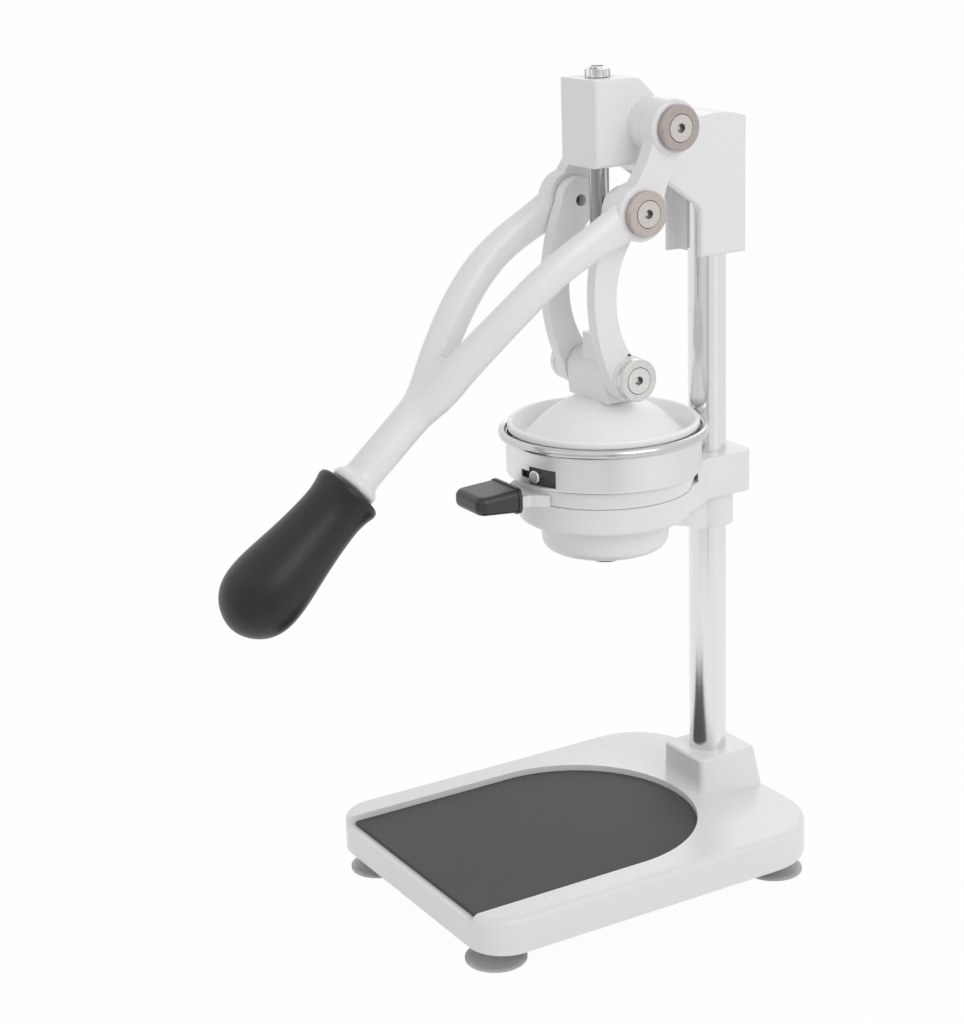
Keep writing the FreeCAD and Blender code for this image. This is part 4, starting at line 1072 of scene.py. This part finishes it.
@dataclass(frozen=True)
class Card:
    """Upright studio card that stands on the floor and only shows in shiny metal."""

    name: str
    start: float
    end: float
    shade: float
    distance: float = 0.60
    height: float = 0.46
    low: float = 0.01
    centre: tuple[float, float] = (0.0, 0.06)
    facets: int = 12

    def build(self) -> None:
        """Bend the card round the column between two bearings, in degrees to the camera's left."""
        camera_side = math.atan2(PhotoView().ahead[1], PhotoView().ahead[0]) + math.pi
        turn = camera_side - math.radians(self.start)
        outward = Vector((math.cos(turn), math.sin(turn), 0.0))
        foot = Vector((*self.centre, self.low)) + outward * self.distance
        shape = bmesh.new()
        ends = [shape.verts.new(foot), shape.verts.new(foot + Vector((0.0, 0.0, self.height)))]
        edge = shape.edges.new(ends)
        bmesh.ops.spin(shape, geom=ends + [edge], cent=(*self.centre, 0.0), axis=(0, 0, 1),
                       angle=math.radians(self.start - self.end), steps=self.facets)
        card = hang(self.name, shape)
        paint = Paint(self.name)
        grey = (self.shade, self.shade, self.shade, 1.0)
        glow = paint.node("ShaderNodeEmission", {}, {"Color": grey})
        paint.node("ShaderNodeOutputMaterial", {}, {0: glow.outputs[0]})
        card.data.materials.append(paint.material)
        card.visible_camera = False
        card.visible_diffuse = False
        card.visible_shadow = False
        card.visible_transmission = False
        card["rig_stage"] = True


@dataclass
class Studio:
    """Pale floor, even sky, soft lamps and cards."""

    floor_half: float = 12.0
    sky: float = 0.62
    floor_colour: Colour = (0.92, 0.92, 0.92)
    floor_glow: float = 0.965
    lamps: tuple[Lamp, ...] = (
        Lamp("key_lamp", (2.1, 0.3, 1.6), 1.5, 14.5),
        Lamp("fill_lamp", (-0.6, -2.4, 1.2), 1.6, 2.6),
        Lamp("rear_lamp", (-1.6, 1.8, 1.8), 1.6, 8.0),
    )
    cards: tuple[Card, ...] = (
        Card("far_left_card", 150.0, 62.0, 0.94),
        Card("left_card", 60.0, 16.0, 0.74),
        Card("front_card", 15.0, -14.0, 0.78),
        Card("narrow_card", 5.0, -3.0, 0.46, 0.58),
        Card("near_right_card", -15.0, -38.0, 0.88),
        Card("right_card", -62.0, -140.0, 0.92),
    )

    def build(self) -> None:
        """Set the studio up."""
        self.build_sky()
        self.build_floor()
        for lamp in self.lamps:
            lamp.build()
        for card in self.cards:
            card.build()
        bpy.context.scene.view_settings.view_transform = "Standard"

    def build_sky(self) -> None:
        """White sky where it is seen or mirrored, dimmer where it lights the piece."""
        world = bpy.data.worlds.new("studio_sky")
        bpy.context.scene.world = world
        world.use_nodes = True
        tree = world.node_tree
        path = tree.nodes.new("ShaderNodeLightPath")
        seen = tree.nodes.new("ShaderNodeMath")
        seen.operation = "MAXIMUM"
        tree.links.new(path.outputs["Is Camera Ray"], seen.inputs[0])
        tree.links.new(path.outputs["Is Glossy Ray"], seen.inputs[1])
        shown = tree.nodes.new("ShaderNodeMath")
        shown.operation = "MAXIMUM"
        tree.links.new(seen.outputs[0], shown.inputs[0])
        tree.links.new(path.outputs["Is Transmission Ray"], shown.inputs[1])
        level = tree.nodes.new("ShaderNodeMath")
        level.operation = "MULTIPLY_ADD"
        tree.links.new(shown.outputs[0], level.inputs[0])
        level.inputs[1].default_value = 1.0 - self.sky
        level.inputs[2].default_value = self.sky
        background = tree.nodes["Background"]
        background.inputs["Color"].default_value = (1.0, 1.0, 1.0, 1.0)
        tree.links.new(level.outputs[0], background.inputs["Strength"])

    def build_floor(self) -> None:
        """Pale floor that keeps the shadow."""
        shape = bmesh.new()
        bmesh.ops.create_grid(shape, x_segments=2, y_segments=2, size=self.floor_half)
        floor = hang("studio_floor", shape)
        paint = Paint("studio_floor")
        matt = paint.node("ShaderNodeBsdfDiffuse", {}, {"Color": (*self.floor_colour, 1.0)})
        glow = paint.node("ShaderNodeEmission", {}, {"Strength": 1.0})
        path = paint.node("ShaderNodeLightPath")
        shown = Value(paint, path.outputs["Is Camera Ray"]) + Value(paint, path.outputs["Is Glossy Ray"])
        share = (shown + Value(paint, path.outputs["Is Transmission Ray"])) * self.floor_glow
        values = {0: share, 1: matt.outputs[0], 2: glow.outputs[0]}
        mixed = paint.node("ShaderNodeMixShader", {}, values)
        paint.node("ShaderNodeOutputMaterial", {}, {0: mixed.outputs[0]})
        floor.data.materials.append(paint.material)
        floor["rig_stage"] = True


def corners() -> list[list[float]]:
    """Lowest and highest corner of what shows, as plain lists."""
    return [list(corner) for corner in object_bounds()]


def main() -> None:
    """Build the camera, the studio and every sub-assembly."""
    logging.basicConfig(level=logging.INFO, format="%(message)s")
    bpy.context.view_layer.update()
    PhotoView().build()
    Studio().build()
    shop = Workshop(frame["nodes"], frame["record"])
    for group in (Base(), Column(), Head(), Bracket(), Lever(), Links(), Ram(), Cup()):
        group.build(shop)
        LOG.info("%s done", type(group).__name__)
    LOG.info("%d pieces dressed", shop.count)


if __name__ == "__main__":
    main()
